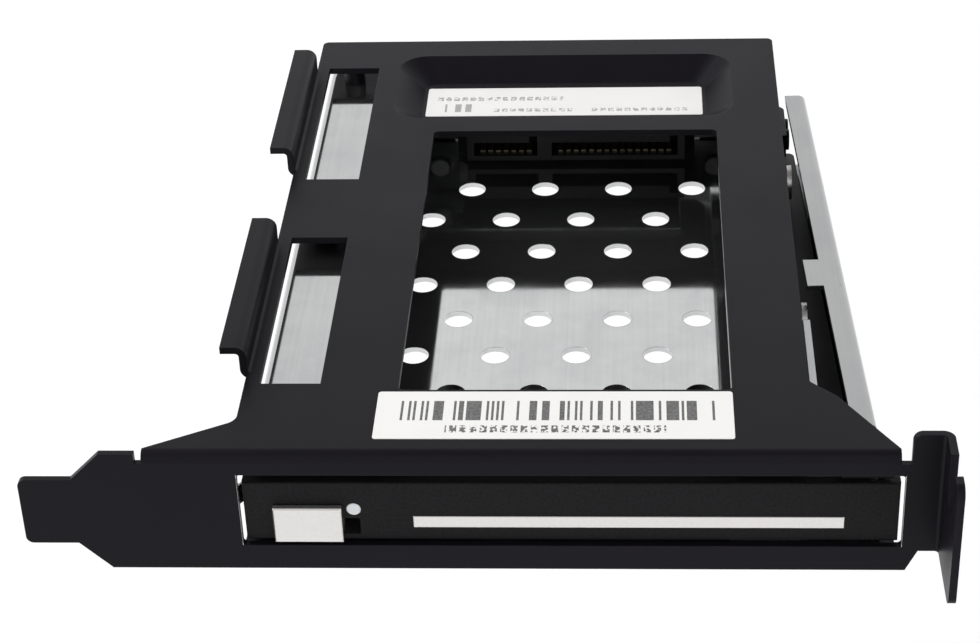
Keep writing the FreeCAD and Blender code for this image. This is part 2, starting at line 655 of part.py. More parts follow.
def side_guard():
    """Slanted zinc channel: a flange under the right rail, a wall and a lip with the ejector's keeper."""
    foot = GUARD_LOW + ZINC / 2
    upper = CAGE_TOP - ZINC / 2
    flange = GUARD_FRONT_GAP + ZINC + GUARD_LAP * 2
    path = ((-flange, foot), (ZINC / 2, foot), (ZINC / 2, upper), (-GUARD_TOP, upper))
    wall = raised(strip(path, ZINC, ZINC_BEND), "xz", 0, GUARD_LENGTH)
    start = KEEPER_FRONT - GUARD_FRONT
    keeper = block(-GUARD_TOP - KEEPER_REACH, 0, start, start + KEEPER_LENGTH, CAGE_TOP - ZINC, CAGE_TOP)
    shape = fused([wall, keeper])
    shape.rotate(Vector(0, 0, 0), ALONG["xy"], math.degrees(math.atan(GUARD_SLANT)))
    shape.translate(Vector(RIGHT_WEB + ZINC + GUARD_FRONT_GAP, GUARD_FRONT, 0))
    lap_end = RIGHT_WEB - GUARD_LAP
    shape = shape.cut(block(lap_end - flange, lap_end, 0, RAIL_END, 0, RAIL_LOW + ZINC))
    across = rail_rivet_lines()[1]
    return shape.cut([rod("xy", across, along, RIVET_SHANK + RIVET_FIT, GUARD_LOW - CUT, FLOOR_UNDER)
                      for along in FLOOR_RIVET_ROWS])


def plate_studs():
    """Shouldered studs welded under the plate and riveted over below the rails' upper flanges."""
    studs = []
    under = CAGE_TOP - ZINC
    for across in rail_rivet_lines():
        for along in PLATE_STUD_ROWS:
            studs.append(fused([
                rod("xy", across, along, RIVET_COLLAR, CAGE_TOP, PLATE_UNDER),
                rod("xy", across, along, RIVET_SHANK, under, CAGE_TOP),
                rod("xy", across, along, RIVET_HEAD, under - RIVET_HEAD_HEIGHT, under),
            ]))
    return Part.makeCompound(studs)


def floor_rivets():
    """Rivets through the floor and the rails, and on the right through the guard's flange too."""
    rivets = []
    for across, low in zip(rail_rivet_lines(), (RAIL_LOW, GUARD_LOW)):
        for along in FLOOR_RIVET_ROWS:
            shank = rod("xy", across, along, RIVET_SHANK, low, FLOOR_TOP)
            rivets.append(fused([shank, rod("xy", across, along, RIVET_HEAD, low - RIVET_HEAD_HEIGHT, low)]))
    return Part.makeCompound(rivets)


def rear_rivets():
    """Flush rivets from the pocket's floor into the rear cross-piece."""
    return Part.makeCompound([sunk_rivet(across, along, POCKET_FLOOR, POCKET_UNDER - ZINC).removeSplitter()
                              for across, along in rear_rivet_places()])


def slide_rivets():
    """Shouldered rivets on the right rail that the ejector slide runs on."""
    rivets = []
    head_face = SLIDE_FACE + SLIDE_GAP
    for along in SLIDE_RIVET_ROWS:
        rivets.append(fused([
            rod("yz", along, SLIDE_MIDDLE, RIVET_SHANK, RIGHT_WEB, RIGHT_WEB + ZINC),
            rod("yz", along, SLIDE_MIDDLE, SLIDE_RIVET_SHANK, RIGHT_WEB + ZINC, head_face),
            rod("yz", along, SLIDE_MIDDLE, SLIDE_RIVET_HEAD, head_face, head_face + ZINC),
        ]))
    return Part.makeCompound(rivets)


def screw_places():
    """Where the board's screws stand: across and up."""
    reach = BOARD_HALF - SCREW_INSET
    up = (BOARD_LOW + BOARD_TOP) / 2
    return (SOCKET_CENTRE - reach, up), (SOCKET_CENTRE + reach, up)


def rear_bracket():
    """Cross-piece on the rails: a web behind the board and a flange under the plate's pocket."""
    level = POCKET_UNDER - ZINC / 2
    web_middle = REAR_WEB + ZINC / 2
    path = ((POCKET_FRONT + REAR_FLANGE_INSET, level), (web_middle, level), (web_middle, FLOOR_UNDER))
    flange_half = (POCKET_RIGHT - POCKET_LEFT - REAR_FLANGE_TRIM) / 2
    left = DRIVE_CENTRE - flange_half
    flange = raised(strip(path, ZINC, ZINC_BEND), "yz", left, left + 2 * flange_half)
    web = block(LEFT_WEB + ZINC_BEND, RIGHT_WEB - ZINC_BEND, REAR_WEB, REAR_WEB + ZINC,
                FLOOR_UNDER, REAR_WEB_TOP)
    half = SOCKET_WIDTH / 2 + PLUG_WALL
    window = rectangle(SOCKET_CENTRE - half, SOCKET_CENTRE + half, FLOOR_UNDER - CUT, SOCKET_TOP + PLUG_WALL)
    cuts = [raised(window, "xz", REAR_WEB - ZINC_BEND, REAR_WEB + CUT)]
    cuts += [rod("xz", across, up, SCREW_SHANK + RIVET_FIT, BOARD_FRONT, REAR_WEB + CUT)
             for across, up in screw_places()]
    cuts += [rod("xy", across, along, RIVET_SHANK + RIVET_FIT, POCKET_UNDER - CUT, POCKET_UNDER + CUT)
             for across, along in rear_rivet_places()]
    return fused([flange, web]).cut(cuts)


def backplane_board():
    """Upright circuit board with its screw holes."""
    left = SOCKET_CENTRE - BOARD_HALF
    face = rectangle(left, left + 2 * BOARD_HALF, BOARD_LOW, BOARD_TOP, BOARD_CORNER)
    return raised(face, "xz", BOARD_FRONT, REAR_WEB).cut(
        [rod("xz", across, up, SCREW_SHANK + RIVET_FIT, BOARD_FRONT - CUT, REAR_WEB + CUT)
         for across, up in screw_places()])


def board_screws():
    """Pan-head screws from the board's front into the cross-piece."""
    screws = []
    head_front = BOARD_FRONT - SCREW_HEAD_HEIGHT
    for across, up in screw_places():
        head = rod("xz", across, up, SCREW_HEAD, head_front, BOARD_FRONT)
        head = chamfered(head, SCREW_CHAMFER, lambda edge: abs(edge.BoundBox.YMax - head_front) < NEAR)
        shank = rod("xz", across, up, SCREW_SHANK, BOARD_FRONT, REAR_WEB + ZINC + SCREW_HEAD_HEIGHT)
        screws.append(fused([shank, head]))
    return Part.makeCompound(screws)


def segments():
    """The data and power segments: start across, width and number of contacts."""
    start = SOCKET_CENTRE - (DATA_WIDTH + SEGMENT_GAP + POWER_WIDTH) / 2
    power_start = start + DATA_WIDTH + SEGMENT_GAP
    return (start, DATA_WIDTH, DATA_CONTACTS), (power_start, POWER_WIDTH, POWER_CONTACTS)


def keyed_outline(start, end, low, top):
    """The L-shaped outline of a connector segment, with its key at the right-hand end."""
    return outline([(start, low), (end, low), (end, top + KEY_HEIGHT), (end - KEY_WIDTH, top + KEY_HEIGHT),
                    (end - KEY_WIDTH, top), (start, top)])


def slot_low():
    """Height of the lower face of the socket's slots."""
    return SOCKET_LOW + (SOCKET_HEIGHT - SLOT_HEIGHT - KEY_HEIGHT) / 2


def drive_receptacle():
    """Moulded socket on the board, with a keyed slot for each segment and chamfered ends."""
    left = SOCKET_CENTRE - SOCKET_WIDTH / 2
    right = SOCKET_CENTRE + SOCKET_WIDTH / 2
    body = raised(outline([
        (left, BOARD_FRONT),
        (left, SOCKET_FRONT + SOCKET_HORN * 2),
        (left + SOCKET_HORN, SOCKET_FRONT + SOCKET_HORN),
        (left + SOCKET_HORN, SOCKET_FRONT),
        (right - SOCKET_HORN, SOCKET_FRONT),
        (right - SOCKET_HORN, SOCKET_FRONT + SOCKET_HORN),
        (right, SOCKET_FRONT + SOCKET_HORN * 2),
        (right, BOARD_FRONT),
    ]), "xy", SOCKET_LOW, SOCKET_TOP)
    slots = [keyed_outline(start, start + width, slot_low(), slot_low() + SLOT_HEIGHT)
             for start, width, count in segments()]
    return body.cut([raised(slot, "xz", SOCKET_FRONT - CUT, SOCKET_FRONT + SLOT_DEPTH) for slot in slots])


def contact_rows(front, back, low):
    """The contact strips of both segments, centred in them."""
    strips = []
    for start, width, count in segments():
        first = start + width / 2 - (count - 1) * CONTACT_PITCH / 2 - CONTACT_WIDTH / 2
        for index in range(count):
            left = first + index * CONTACT_PITCH
            strips.append(block(left, left + CONTACT_WIDTH, front, back, low, low + CONTACT_THICKNESS))
    return Part.makeCompound(strips)


def receptacle_contacts():
    """Contact strips along the lower face of the socket's slots."""
    return contact_rows(SOCKET_FRONT + CONTACT_PITCH, SOCKET_FRONT + SLOT_DEPTH, slot_low())


def tongue_low():
    """Height of the lower face of the rear plugs' tongues."""
    return SOCKET_LOW + (SOCKET_HEIGHT - PLUG_TONGUE) / 2


def rear_plug(start, width):
    """A shrouded plug on the rear of the board, with a keyed tongue."""
    end = start + width
    back = REAR_WEB + PLUG_DEPTH
    floor = REAR_WEB + PLUG_WALL
    shroud = block(start - PLUG_WALL, end + PLUG_WALL, REAR_WEB, back, SOCKET_LOW, SOCKET_TOP)
    hollow = block(start - PLUG_SKIN, end + PLUG_SKIN, floor, back + CUT,
                   SOCKET_LOW + PLUG_SKIN, SOCKET_TOP - PLUG_SKIN)
    face = keyed_outline(start + PLUG_SKIN, end - PLUG_SKIN, tongue_low(), tongue_low() + PLUG_TONGUE)
    return fused([shroud.cut(hollow), raised(face, "xz", floor, back - PLUG_SKIN)])


def data_plug():
    return rear_plug(*segments()[0][:2])


def power_plug():
    return rear_plug(*segments()[1][:2])


def plug_contacts():
    """Contact strips under the tongues of the rear plugs."""
    back = REAR_WEB + PLUG_DEPTH - PLUG_WALL
    return contact_rows(REAR_WEB + PLUG_WALL, back, tongue_low() - CONTACT_THICKNESS)


def hinge_block():
    """Upper hinge eye under the plate's right-hand flare."""
    left = HINGE_ACROSS - HINGE_BLOCK_LEFT
    shape = raised(outline([
        (left, FOLD_DEPTH),
        (HINGE_ACROSS + HINGE_BLOCK_RIGHT, FOLD_DEPTH),
        (HINGE_ACROSS - HINGE_PIN, FOLD_DEPTH + HINGE_BLOCK_DEPTH),
        (left, FOLD_DEPTH + HINGE_BLOCK_DEPTH),
    ]), "xy", HINGE_BLOCK_LOW, PLATE_UNDER)
    holes = ((HINGE_ACROSS, HINGE_BACK, HINGE_PIN), (*hinge_stud_place(), RIVET_SHANK))
    return shape.cut([rod("xy", across, along, radius + RIVET_FIT, HINGE_BLOCK_LOW - CUT, PLATE_UNDER + CUT)
                      for across, along, radius in holes])


def hinge_stud():
    """Stud welded under the plate that the hinge block is pressed on."""
    return rod("xy", *hinge_stud_place(), RIVET_SHANK, HINGE_BLOCK_LOW, PLATE_UNDER)


def hinge_pin():
    """Pin through the hinge block, the door's barrel and the lower eye, with a flat head below."""
    low = FLOOR_UNDER - SHEET
    head = rod("xy", HINGE_ACROSS, HINGE_BACK, WASHER, low - RIVET_HEAD_HEIGHT, low)
    return fused([rod("xy", HINGE_ACROSS, HINGE_BACK, HINGE_PIN, low, PLATE_UNDER), head])


def hinge_washers():
    """Washers on the pin, above and below the door's barrel."""
    washers = []
    for low, top in ((FLOOR_UNDER, BARREL_LOW - HINGE_PLAY), (BARREL_TOP + HINGE_PLAY, HINGE_BLOCK_LOW)):
        ring = rod("xy", HINGE_ACROSS, HINGE_BACK, WASHER, low, top)
        washers.append(ring.cut(rod("xy", HINGE_ACROSS, HINGE_BACK, HINGE_PIN, low - CUT, top + CUT)))
    return Part.makeCompound(washers)


def door_shell():
    """The door's front wall with ribs round its back, and none where the crank works."""
    body = block(DOOR_START, DOOR_END, DOOR_RECESS, DOOR_BACK, DOOR_LOW, DOOR_TOP)
    body = softened(body, DOOR_EDGE_ROUND, lambda edge: abs(edge.BoundBox.YMax - DOOR_RECESS) < NEAR)
    cuts = [block(CRANK_BAY, DOOR_END + CUT, DOOR_WALL_BACK, DOOR_BACK + CUT, DOOR_LOW - CUT, DOOR_TOP + CUT)]
    cross_rib = SPRING_END + DOOR_RIB
    for start, end in ((DOOR_START + DOOR_RIB, cross_rib), (cross_rib + DOOR_RIB, CRANK_BAY - DOOR_RIB)):
        cuts.append(block(start, end, DOOR_WALL_BACK, DOOR_BACK + CUT,
                          DOOR_LOW + DOOR_RIB, DOOR_TOP - DOOR_RIB))
    cuts.append(block(DOOR_START - CUT, DOOR_START + DOOR_RIB * 2, DOOR_WALL_BACK, DOOR_BACK + CUT,
                      SPRING_LOW - NECK_CLEARANCE, SPRING_TOP + NECK_CLEARANCE))
    return body.cut(cuts)


def door_crank():
    """The arm from the hinge barrel to the crank pin."""
    hinge = Vector(HINGE_ACROSS, HINGE_BACK, 0)
    crank = Vector(CRANK_ACROSS, CRANK_BACK, 0)
    way = Vector(crank - hinge).normalize() * CRANK_BOSS
    side = Vector(-way.y, way.x, 0)
    corners = (hinge + side, hinge - side, crank - side, crank + side)
    face = outline([(corner.x, corner.y) for corner in corners])
    arm = raised(face, "xy", CRANK_LOW, CRANK_LOW + CRANK_PLATE)
    return arm.fuse(rod("xy", CRANK_ACROSS, CRANK_BACK, CRANK_BOSS, CRANK_LOW, CRANK_LOW + CRANK_PLATE))


def latch_rivet_place():
    """Where the latch spring's rivet stands: across and up."""
    return SPRING_END - LATCH_RIVET_INSET, (SPRING_LOW + SPRING_TOP) / 2


def door_panel():
    """Moulded door with its hinge barrel, crank, slider slot, strip groove and lens hole."""
    barrel = rod("xy", HINGE_ACROSS, HINGE_BACK, BARREL, BARREL_LOW, BARREL_TOP)
    slot = rectangle(SLIDER_START + NECK_INSET - NECK_CLEARANCE, SLIDER_END + SLIDER_TRAVEL + NECK_CLEARANCE,
                     NECK_LOW - NECK_CLEARANCE, NECK_TOP + NECK_CLEARANCE, NECK_CLEARANCE)
    groove = block(ACCENT_START, ACCENT_END, DOOR_RECESS - CUT, DOOR_RECESS + ACCENT_SINK,
                   ACCENT_LOW, ACCENT_LOW + ACCENT_HEIGHT)
    cuts = [
        raised(slot, "xz", DOOR_RECESS - CUT, DOOR_WALL_BACK + CUT),
        groove,
        rod("xz", LENS_ACROSS, LENS_UP, LENS_RADIUS, DOOR_RECESS - CUT, DOOR_WALL_BACK),
        rod("xz", *latch_rivet_place(), LATCH_RIVET, DOOR_RECESS + DOOR_WALL / 2, DOOR_WALL_BACK),
        rod("xy", HINGE_ACROSS, HINGE_BACK, HINGE_PIN + HINGE_FIT, DOOR_LOW - CUT, DOOR_TOP + CUT),
        rod("xy", HINGE_ACROSS, HINGE_BACK, WASHER_RELIEF, DOOR_LOW - CUT, BARREL_LOW),
        rod("xy", HINGE_ACROSS, HINGE_BACK, WASHER_RELIEF, BARREL_TOP, DOOR_TOP + CUT),
        rod("xy", CRANK_ACROSS, CRANK_BACK, CRANK_PIN, CRANK_LOW - CUT, CRANK_LOW + CRANK_PLATE + CUT),
    ]
    return fused([door_shell(), barrel, door_crank()]).cut(cuts)


def accent_strip():
    """Bright strip let into the door's front."""
    front = DOOR_RECESS - ACCENT_PROUD
    shape = block(ACCENT_START, ACCENT_END, front, DOOR_RECESS + ACCENT_SINK,
                  ACCENT_LOW, ACCENT_LOW + ACCENT_HEIGHT)
    return chamfered(shape, ACCENT_PROUD / 2, lambda edge: abs(edge.BoundBox.YMax - front) < NEAR)


def indicator_lens():
    """Light pipe through the door's wall, with a rounded front edge."""
    lens = rod("xz", LENS_ACROSS, LENS_UP, LENS_RADIUS, DOOR_RECESS, DOOR_WALL_BACK)
    return chamfered(lens, LENS_ROUND, lambda edge: abs(edge.BoundBox.YMax - DOOR_RECESS) < NEAR)


def crank_pin():
    """Pin that stands in the crank and reaches up through the fork."""
    return rod("xy", CRANK_ACROSS, CRANK_BACK, CRANK_PIN, CRANK_LOW, FORK_UP + EJECTOR_SHEET + CRANK_PIN)


def release_slider():
    """Thumb cap in front of the door, with the neck that runs in the slot."""
    back = DOOR_RECESS - SLIDER_GAP
    front = back - SLIDER_CAP
    cap = block(SLIDER_START, SLIDER_END, front, back, SLIDER_LOW, SLIDER_LOW + SLIDER_HEIGHT)
    cap = chamfered(cap, SLIDER_CHAMFER, lambda edge: abs(edge.BoundBox.YMax - front) < NEAR)
    neck = block(SLIDER_START + NECK_INSET, SLIDER_END, back, DOOR_WALL_BACK + SLIDER_GAP, NECK_LOW, NECK_TOP)
    return fused([cap, neck])


def slider_plate():
    """Retainer on the slider's neck behind the door's wall, with a finger in the spring's notch."""
    front = DOOR_WALL_BACK + SLIDER_GAP
    face = outline([
        (SLIDER_START, NECK_LOW),
        (SLIDER_END, NECK_LOW),
        (SLIDER_END, NECK_TOP + SLIDER_PLATE_LAP),
        (SLIDER_START + SLIDER_FINGER, NECK_TOP + SLIDER_PLATE_LAP),
        (SLIDER_START + SLIDER_FINGER, FINGER_TOP),
        (SLIDER_START, FINGER_TOP),
    ])
    return raised(face, "xz", front, front + SLIDER_PLATE)


def latch_spring():
    """Spring strip on the door's back, with a flexing loop and a nose behind the bracket's edge."""
    lie = DOOR_WALL_BACK + SPRING / 2
    rise = lie + SPRING_LOOP_RISE
    loop_end = SPRING_LOOP + SPRING_LOOP_WIDTH
    path = (
        (SPRING_END, lie),
        (loop_end, lie),
        (loop_end, rise),
        (SPRING_LOOP, rise),
        (SPRING_LOOP, lie),
        (DOOR_START - SPRING, lie),
        (OPENING_START - LATCH_LAP, SHEET + LATCH_GAP + SPRING / 2),
    )
    leaf = raised(strip(path, SPRING, SPRING_BEND), "xy", SPRING_LOW, SPRING_TOP)
    notch = block(SLIDER_START - SPRING_NOTCH_GAP, SLIDER_START + SLIDER_FINGER + SPRING_NOTCH_GAP,
                  DOOR_RECESS, DOOR_BACK, SPRING_LOW - CUT, FINGER_TOP + SPRING_NOTCH_GAP)
    return leaf.cut([notch, rod("xz", *latch_rivet_place(), LATCH_RIVET, DOOR_RECESS, DOOR_BACK)])


def latch_rivet():
    """Rivet that holds the latch spring on the door."""
    face = DOOR_WALL_BACK + SPRING
    return fused([
        rod("xz", *latch_rivet_place(), LATCH_RIVET, DOOR_RECESS + DOOR_WALL / 2, face),
        rod("xz", *latch_rivet_place(), LATCH_RIVET_HEAD, face, face + RIVET_HEAD_HEIGHT),
    ])


def ejector_holes():
    """Cutters for the ejector's rivet holes."""
    return [rod("yz", along, SLIDE_MIDDLE, RIVET_SHANK, SLIDE_SIDE - CUT, SLIDE_FACE + CUT)
            for along in EJECTOR_RIVET_ROWS]


def slide_foot():
    """Foot of the ejector slide, spread across the guard's channel."""
    reach = []
    for along in (SLIDE_FOOT_FRONT, ARM_FACE - SLIDE_FOOT_EDGE):
        gap = GUARD_FRONT_GAP - (along - GUARD_FRONT) * GUARD_SLANT
        reach.append((RIGHT_WEB + ZINC + gap - SLIDE_FOOT_GAP, along, SLIDE_CORNER))
    face = outline([(SLIDE_SIDE, reach[0][1]), reach[0], reach[1], (SLIDE_SIDE, reach[1][1])])
    return raised(face, "xy", SLIDE_LOW - SLIDE_FOOT, SLIDE_LOW)


def ejector_slide():
    """Bar beside the right rail with a wide foot, slotted for the two rivets that it runs on."""
    slide_end = ARM_FACE - EJECTOR_BEND - SLIDE_END_GAP
    face = rectangle(SLIDE_FRONT, slide_end, SLIDE_LOW, SLIDE_LOW + SLIDE_HEIGHT, SLIDE_CORNER)
    half = SLIDE_RIVET_SHANK + SLIDE_GAP
    cuts = ejector_holes()
    for along in SLIDE_RIVET_ROWS:
        slot = rectangle(along - half, along + EJECT_TRAVEL + half, SLIDE_MIDDLE - half, SLIDE_MIDDLE + half,
                         half * ROUND_END)
        cuts.append(raised(slot, "yz", RIGHT_WEB, SLIDE_FACE + CUT))
    return fused([raised(face, "yz", SLIDE_SIDE, SLIDE_FACE), slide_foot()]).cut(cuts)


def ejector_fork():
    """Bent fork on the slide's front end, with a slot round the door's crank pin."""
    middle = SLIDE_FACE + EJECTOR_SHEET / 2
    left = RIGHT_WEB + ZINC + FORK_SIDE_GAP
    tip = CRANK_ACROSS + FORK_TIP
    half = CRANK_PIN + FORK_PLAY
    slot_end = HINGE_ACROSS - CRANK_RADIUS - half
    fork = raised(outline([
        (left, CRANK_BACK - half - FORK_FINGER),
        (tip, CRANK_BACK - half - FORK_FINGER),
        (tip, CRANK_BACK - half),
        (slot_end, CRANK_BACK - half),
        (slot_end, CRANK_BACK + half),
        (tip, CRANK_BACK + half),
        (tip, FORK_BEND_START),
        (left, FORK_BEND_START),
    ]), "xy", FORK_UP, FORK_UP + EJECTOR_SHEET)
    level = FORK_UP + EJECTOR_SHEET / 2
    path = ((middle, FORK_LEG_LOW), (middle, level), (tip, level))
    bend = raised(strip(path, EJECTOR_SHEET, EJECTOR_BEND), "xz", FORK_BEND_START, FORK_BEND_END)
    leg = raised(outline([
        (FORK_BEND_START, FORK_LEG_LOW),
        (FORK_LEG_END, FORK_LEG_LOW),
        (FORK_LEG_END, FORK_LEG_TOP, SLIDE_CORNER),
        (SLIDE_FRONT, FORK_LEG_TOP, SLIDE_CORNER),
        (SLIDE_FRONT, FORK_UP - EJECTOR_BEND),
        (FORK_BEND_START, FORK_UP - EJECTOR_BEND),
    ]), "yz", SLIDE_FACE, SLIDE_FACE + EJECTOR_SHEET)
    return fused([fork, bend, leg]).cut(ejector_holes())


def ejector_hook():
    """Bent arm that reaches through the rail's web behind the drive."""
    middle = SLIDE_FACE + EJECTOR_SHEET / 2
    along = ARM_FACE + EJECTOR_SHEET / 2
    path = ((RIGHT_WEB - ARM_REACH, along), (middle, along), (middle, along - ARM_LEG))
    return raised(strip(path, EJECTOR_SHEET, EJECTOR_BEND), "xy", ARM_LOW, ARM_TOP).cut(ejector_holes())


def ejector_rivets():
    """Rivets that hold the fork and the arm on the slide, flush on the rail's side."""
    face = SLIDE_FACE + EJECTOR_SHEET
    return Part.makeCompound([fused([
        rod("yz", along, SLIDE_MIDDLE, RIVET_SHANK, SLIDE_SIDE, face),
        rod("yz", along, SLIDE_MIDDLE, RIVET_COLLAR, face, face + RIVET_HEAD_HEIGHT),
    ]) for along in EJECTOR_RIVET_ROWS])


NODES = (
    slot_plate, left_rail, right_rail, floor_plate, lower_support, side_guard, plate_studs, floor_rivets,
    rear_rivets, slide_rivets, rear_bracket, backplane_board, board_screws, drive_receptacle,
    receptacle_contacts, data_plug, power_plug, plug_contacts, hinge_block, hinge_stud, hinge_pin,
    hinge_washers, door_panel, accent_strip, indicator_lens, crank_pin, latch_spring, latch_rivet,
    release_slider, slider_plate, ejector_slide, ejector_fork, ejector_hook, ejector_rivets,
)

os.makedirs("parts", exist_ok=True)
for node in NODES:
    piece = node()
    piece.translate(ORIGIN)
    piece.exportStep("parts/%s.step" % node.__name__)
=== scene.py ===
"""Finishes, latch spring, labels and studio for a removable 2.5 inch drive bay on a slot bracket."""

import bpy
import numpy as np
from mathutils import Matrix, Vector


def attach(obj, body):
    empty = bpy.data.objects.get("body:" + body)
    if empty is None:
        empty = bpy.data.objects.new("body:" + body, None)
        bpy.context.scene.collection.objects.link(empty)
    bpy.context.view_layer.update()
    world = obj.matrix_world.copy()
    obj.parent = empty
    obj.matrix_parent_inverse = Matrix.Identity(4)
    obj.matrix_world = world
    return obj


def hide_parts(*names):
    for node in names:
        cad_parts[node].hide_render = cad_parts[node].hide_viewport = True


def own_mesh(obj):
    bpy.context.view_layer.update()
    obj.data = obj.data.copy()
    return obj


bl_info = {
    "name": "Drive bay finishes",
    "version": (1, 0, 0),
    "blender": (4, 5, 0),
    "location": "3D View > Sidebar > Drive bay",
    "description": "Finishes, labels and studio for a removable drive bay",
    "category": "Object",
}

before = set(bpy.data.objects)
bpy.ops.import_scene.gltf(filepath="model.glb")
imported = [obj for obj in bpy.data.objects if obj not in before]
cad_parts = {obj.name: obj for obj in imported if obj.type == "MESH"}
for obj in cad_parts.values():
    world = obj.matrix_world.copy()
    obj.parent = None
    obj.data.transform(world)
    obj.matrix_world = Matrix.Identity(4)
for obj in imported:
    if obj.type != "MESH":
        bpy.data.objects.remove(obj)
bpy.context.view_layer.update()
MM = 0.001

# The bracket's own corner in the part's frame, in mm: its tongue tip, front face and lower edge. The places
# below are in mm from that corner: along the bracket, from front to back, and up.
CORNER = np.array([-60.01, -52.785, 0.0])
SHEET = 1.0
PLATE_TOP = 18.42
BRACKET_TOP = 22.42
POCKET_FLOOR = 15.42
OPENING_ENDS = (28.7, 114.3)
OPENING_LEVELS = (3.83, 15.2)
# How far outside a box a point still counts as inside it
MARGIN = 0.03
# Points along each rounded corner of a label and each bend of the spring
ARC_POINTS = 7

# The latch spring's middle line from its riveted end to its nose, with its bend radius and its section
SPRING_PATH = ((58.0, 2.575), (50.4, 2.575), (50.4, 3.875), (48.0, 3.875),
               (48.0, 2.575), (28.8, 2.575), (28.1, 1.475))
SPRING_BEND = 0.525
SPRING_THICKNESS = 0.35
SPRING_LEVELS = (9.2, 12.1)
# The notch in its lower edge, whose sides slope a little
SPRING_NOTCH = (32.6, 34.6)
SPRING_NOTCH_TOP = 10.9
SPRING_NOTCH_SLOPE = 0.05

# Rows of a label's edge from below: the share of its outline and the share of its thickness
LABEL_ROWS = ((1.0, 0.004), (1.0, 0.6), (0.998, 1.0))
# Each label's left front corner, and its print: the boxes that bars and letter-like blots fill, how dark it
# is and the seed of its bars
FRONT_PLACE = (46.2, 3.5)
FRONT_PRINT = {
    "bars": (((48.9, 90.9), (7.6, 11.9)),),
    "letters": (((55.5, 84.0), (4.9, 6.4)),),
    "strength": 0.95,
    "seed": 11.0,
}
REAR_PLACE = (46.4, 96.0)
REAR_PRINT = {
    "bars": (((48.0, 55.0), (97.4, 100.0)),),
    "letters": (((48.0, 68.5), (101.2, 102.4)), ((57.0, 70.0), (97.4, 98.4)), ((73.0, 88.5), (97.4, 98.4))),
    "strength": 0.6,
    "seed": 57.0,
}
# A step is a dark bar where its random number is above the limit. A blot comes every so many steps and fills
# this share of them.
BAR_LIMIT = 0.48
BLOT_STEPS = 4.0
BLOT_SHARE = 0.7

# The values that most of a noise lies between, and the rays that a rounded edge is found with
NOISE_SPAN = {"From Min": 0.3, "From Max": 0.7}
EDGE_SAMPLES = 6

# Each lamp's name, power in W, and width and place in m. All of them face the part's origin.
LAMPS = (("key", 8.0, 0.8, (-0.9, 0.1, 1.0)), ("fill", 2.7, 0.9, (0.9, -0.7, 0.6)))
# How strongly the surround lights the part, how bright its walls and ceiling look, and between which heights,
# as the sine of the angle upwards, the one goes over into the other
SURROUND_LIGHT = 0.6
WALLS = 1.0
CEILING = 0.3
CEILING_EDGE = (0.65, 0.95)
# The floor's half width in m and its grid's lines each way, and how much it is lifted to white where it is
# seen: near the part and far from it, each after its distance in m
FLOOR_REACH = 3.0
FLOOR_LINES = 9
LIFT_NEAR = (0.3, 0.18)
LIFT_FAR = (1.5, 0.42)
# The camera as fitted to the photograph: lens and sensor in mm, its nearest distance and its place in m
LENS = 89.13
SENSOR = 36.0
NEAREST = 0.01
CAMERA_PLACE = Matrix(((0.99822, 0.00251, 0.05945, 0.01998),
                       (0.04838, 0.54738, -0.83549, -0.301052),
                       (-0.03464, 0.83688, 0.5463, 0.201081),
                       (0.0, 0.0, 0.0, 1.0)))


def linear(hex_colour):
    """The linear colour of an sRGB hex value, with full alpha."""
    srgb = np.array([int(hex_colour[i:i + 2], 16) for i in (1, 3, 5)]) / 255
    return (*np.where(srgb <= 0.04045, srgb / 12.92, ((srgb + 0.055) / 1.055) ** 2.4).tolist(), 1.0)


WHITE = linear("#FFFFFF")


def colour(name, description, hex_colour):
    """A colour that a user may change."""
    return bpy.props.FloatVectorProperty(name=name, description=description, subtype="COLOR", size=4,
                                         min=0, max=1, default=linear(hex_colour))


def length(name, description, millimetres):
    """A length that a user may change, in metres."""
    return bpy.props.FloatProperty(name=name, description=description, subtype="DISTANCE", unit="LENGTH",
                                   default=millimetres * MM)


class BaySizes(bpy.types.PropertyGroup):
    """Sizes of what is added to the part."""
    label_thickness: length("Label thickness", "How far a label stands proud", 0.08)
    label_corner: length("Label corner", "Corner radius of a label", 0.4)
    front_width: length("Front label width", "Front label along the bracket", 46.6)
    front_depth: length("Front label depth", "Front label from front to back", 10.6)
    rear_width: length("Rear label width", "Rear label along the bracket", 44.6)
    rear_depth: length("Rear label depth", "Rear label from front to back", 9.5)
    bar: length("Printed bar", "Narrowest printed bar of a label", 0.33)
    floor_drop: length("Floor drop", "How far the studio floor lies under the part", 150.0)


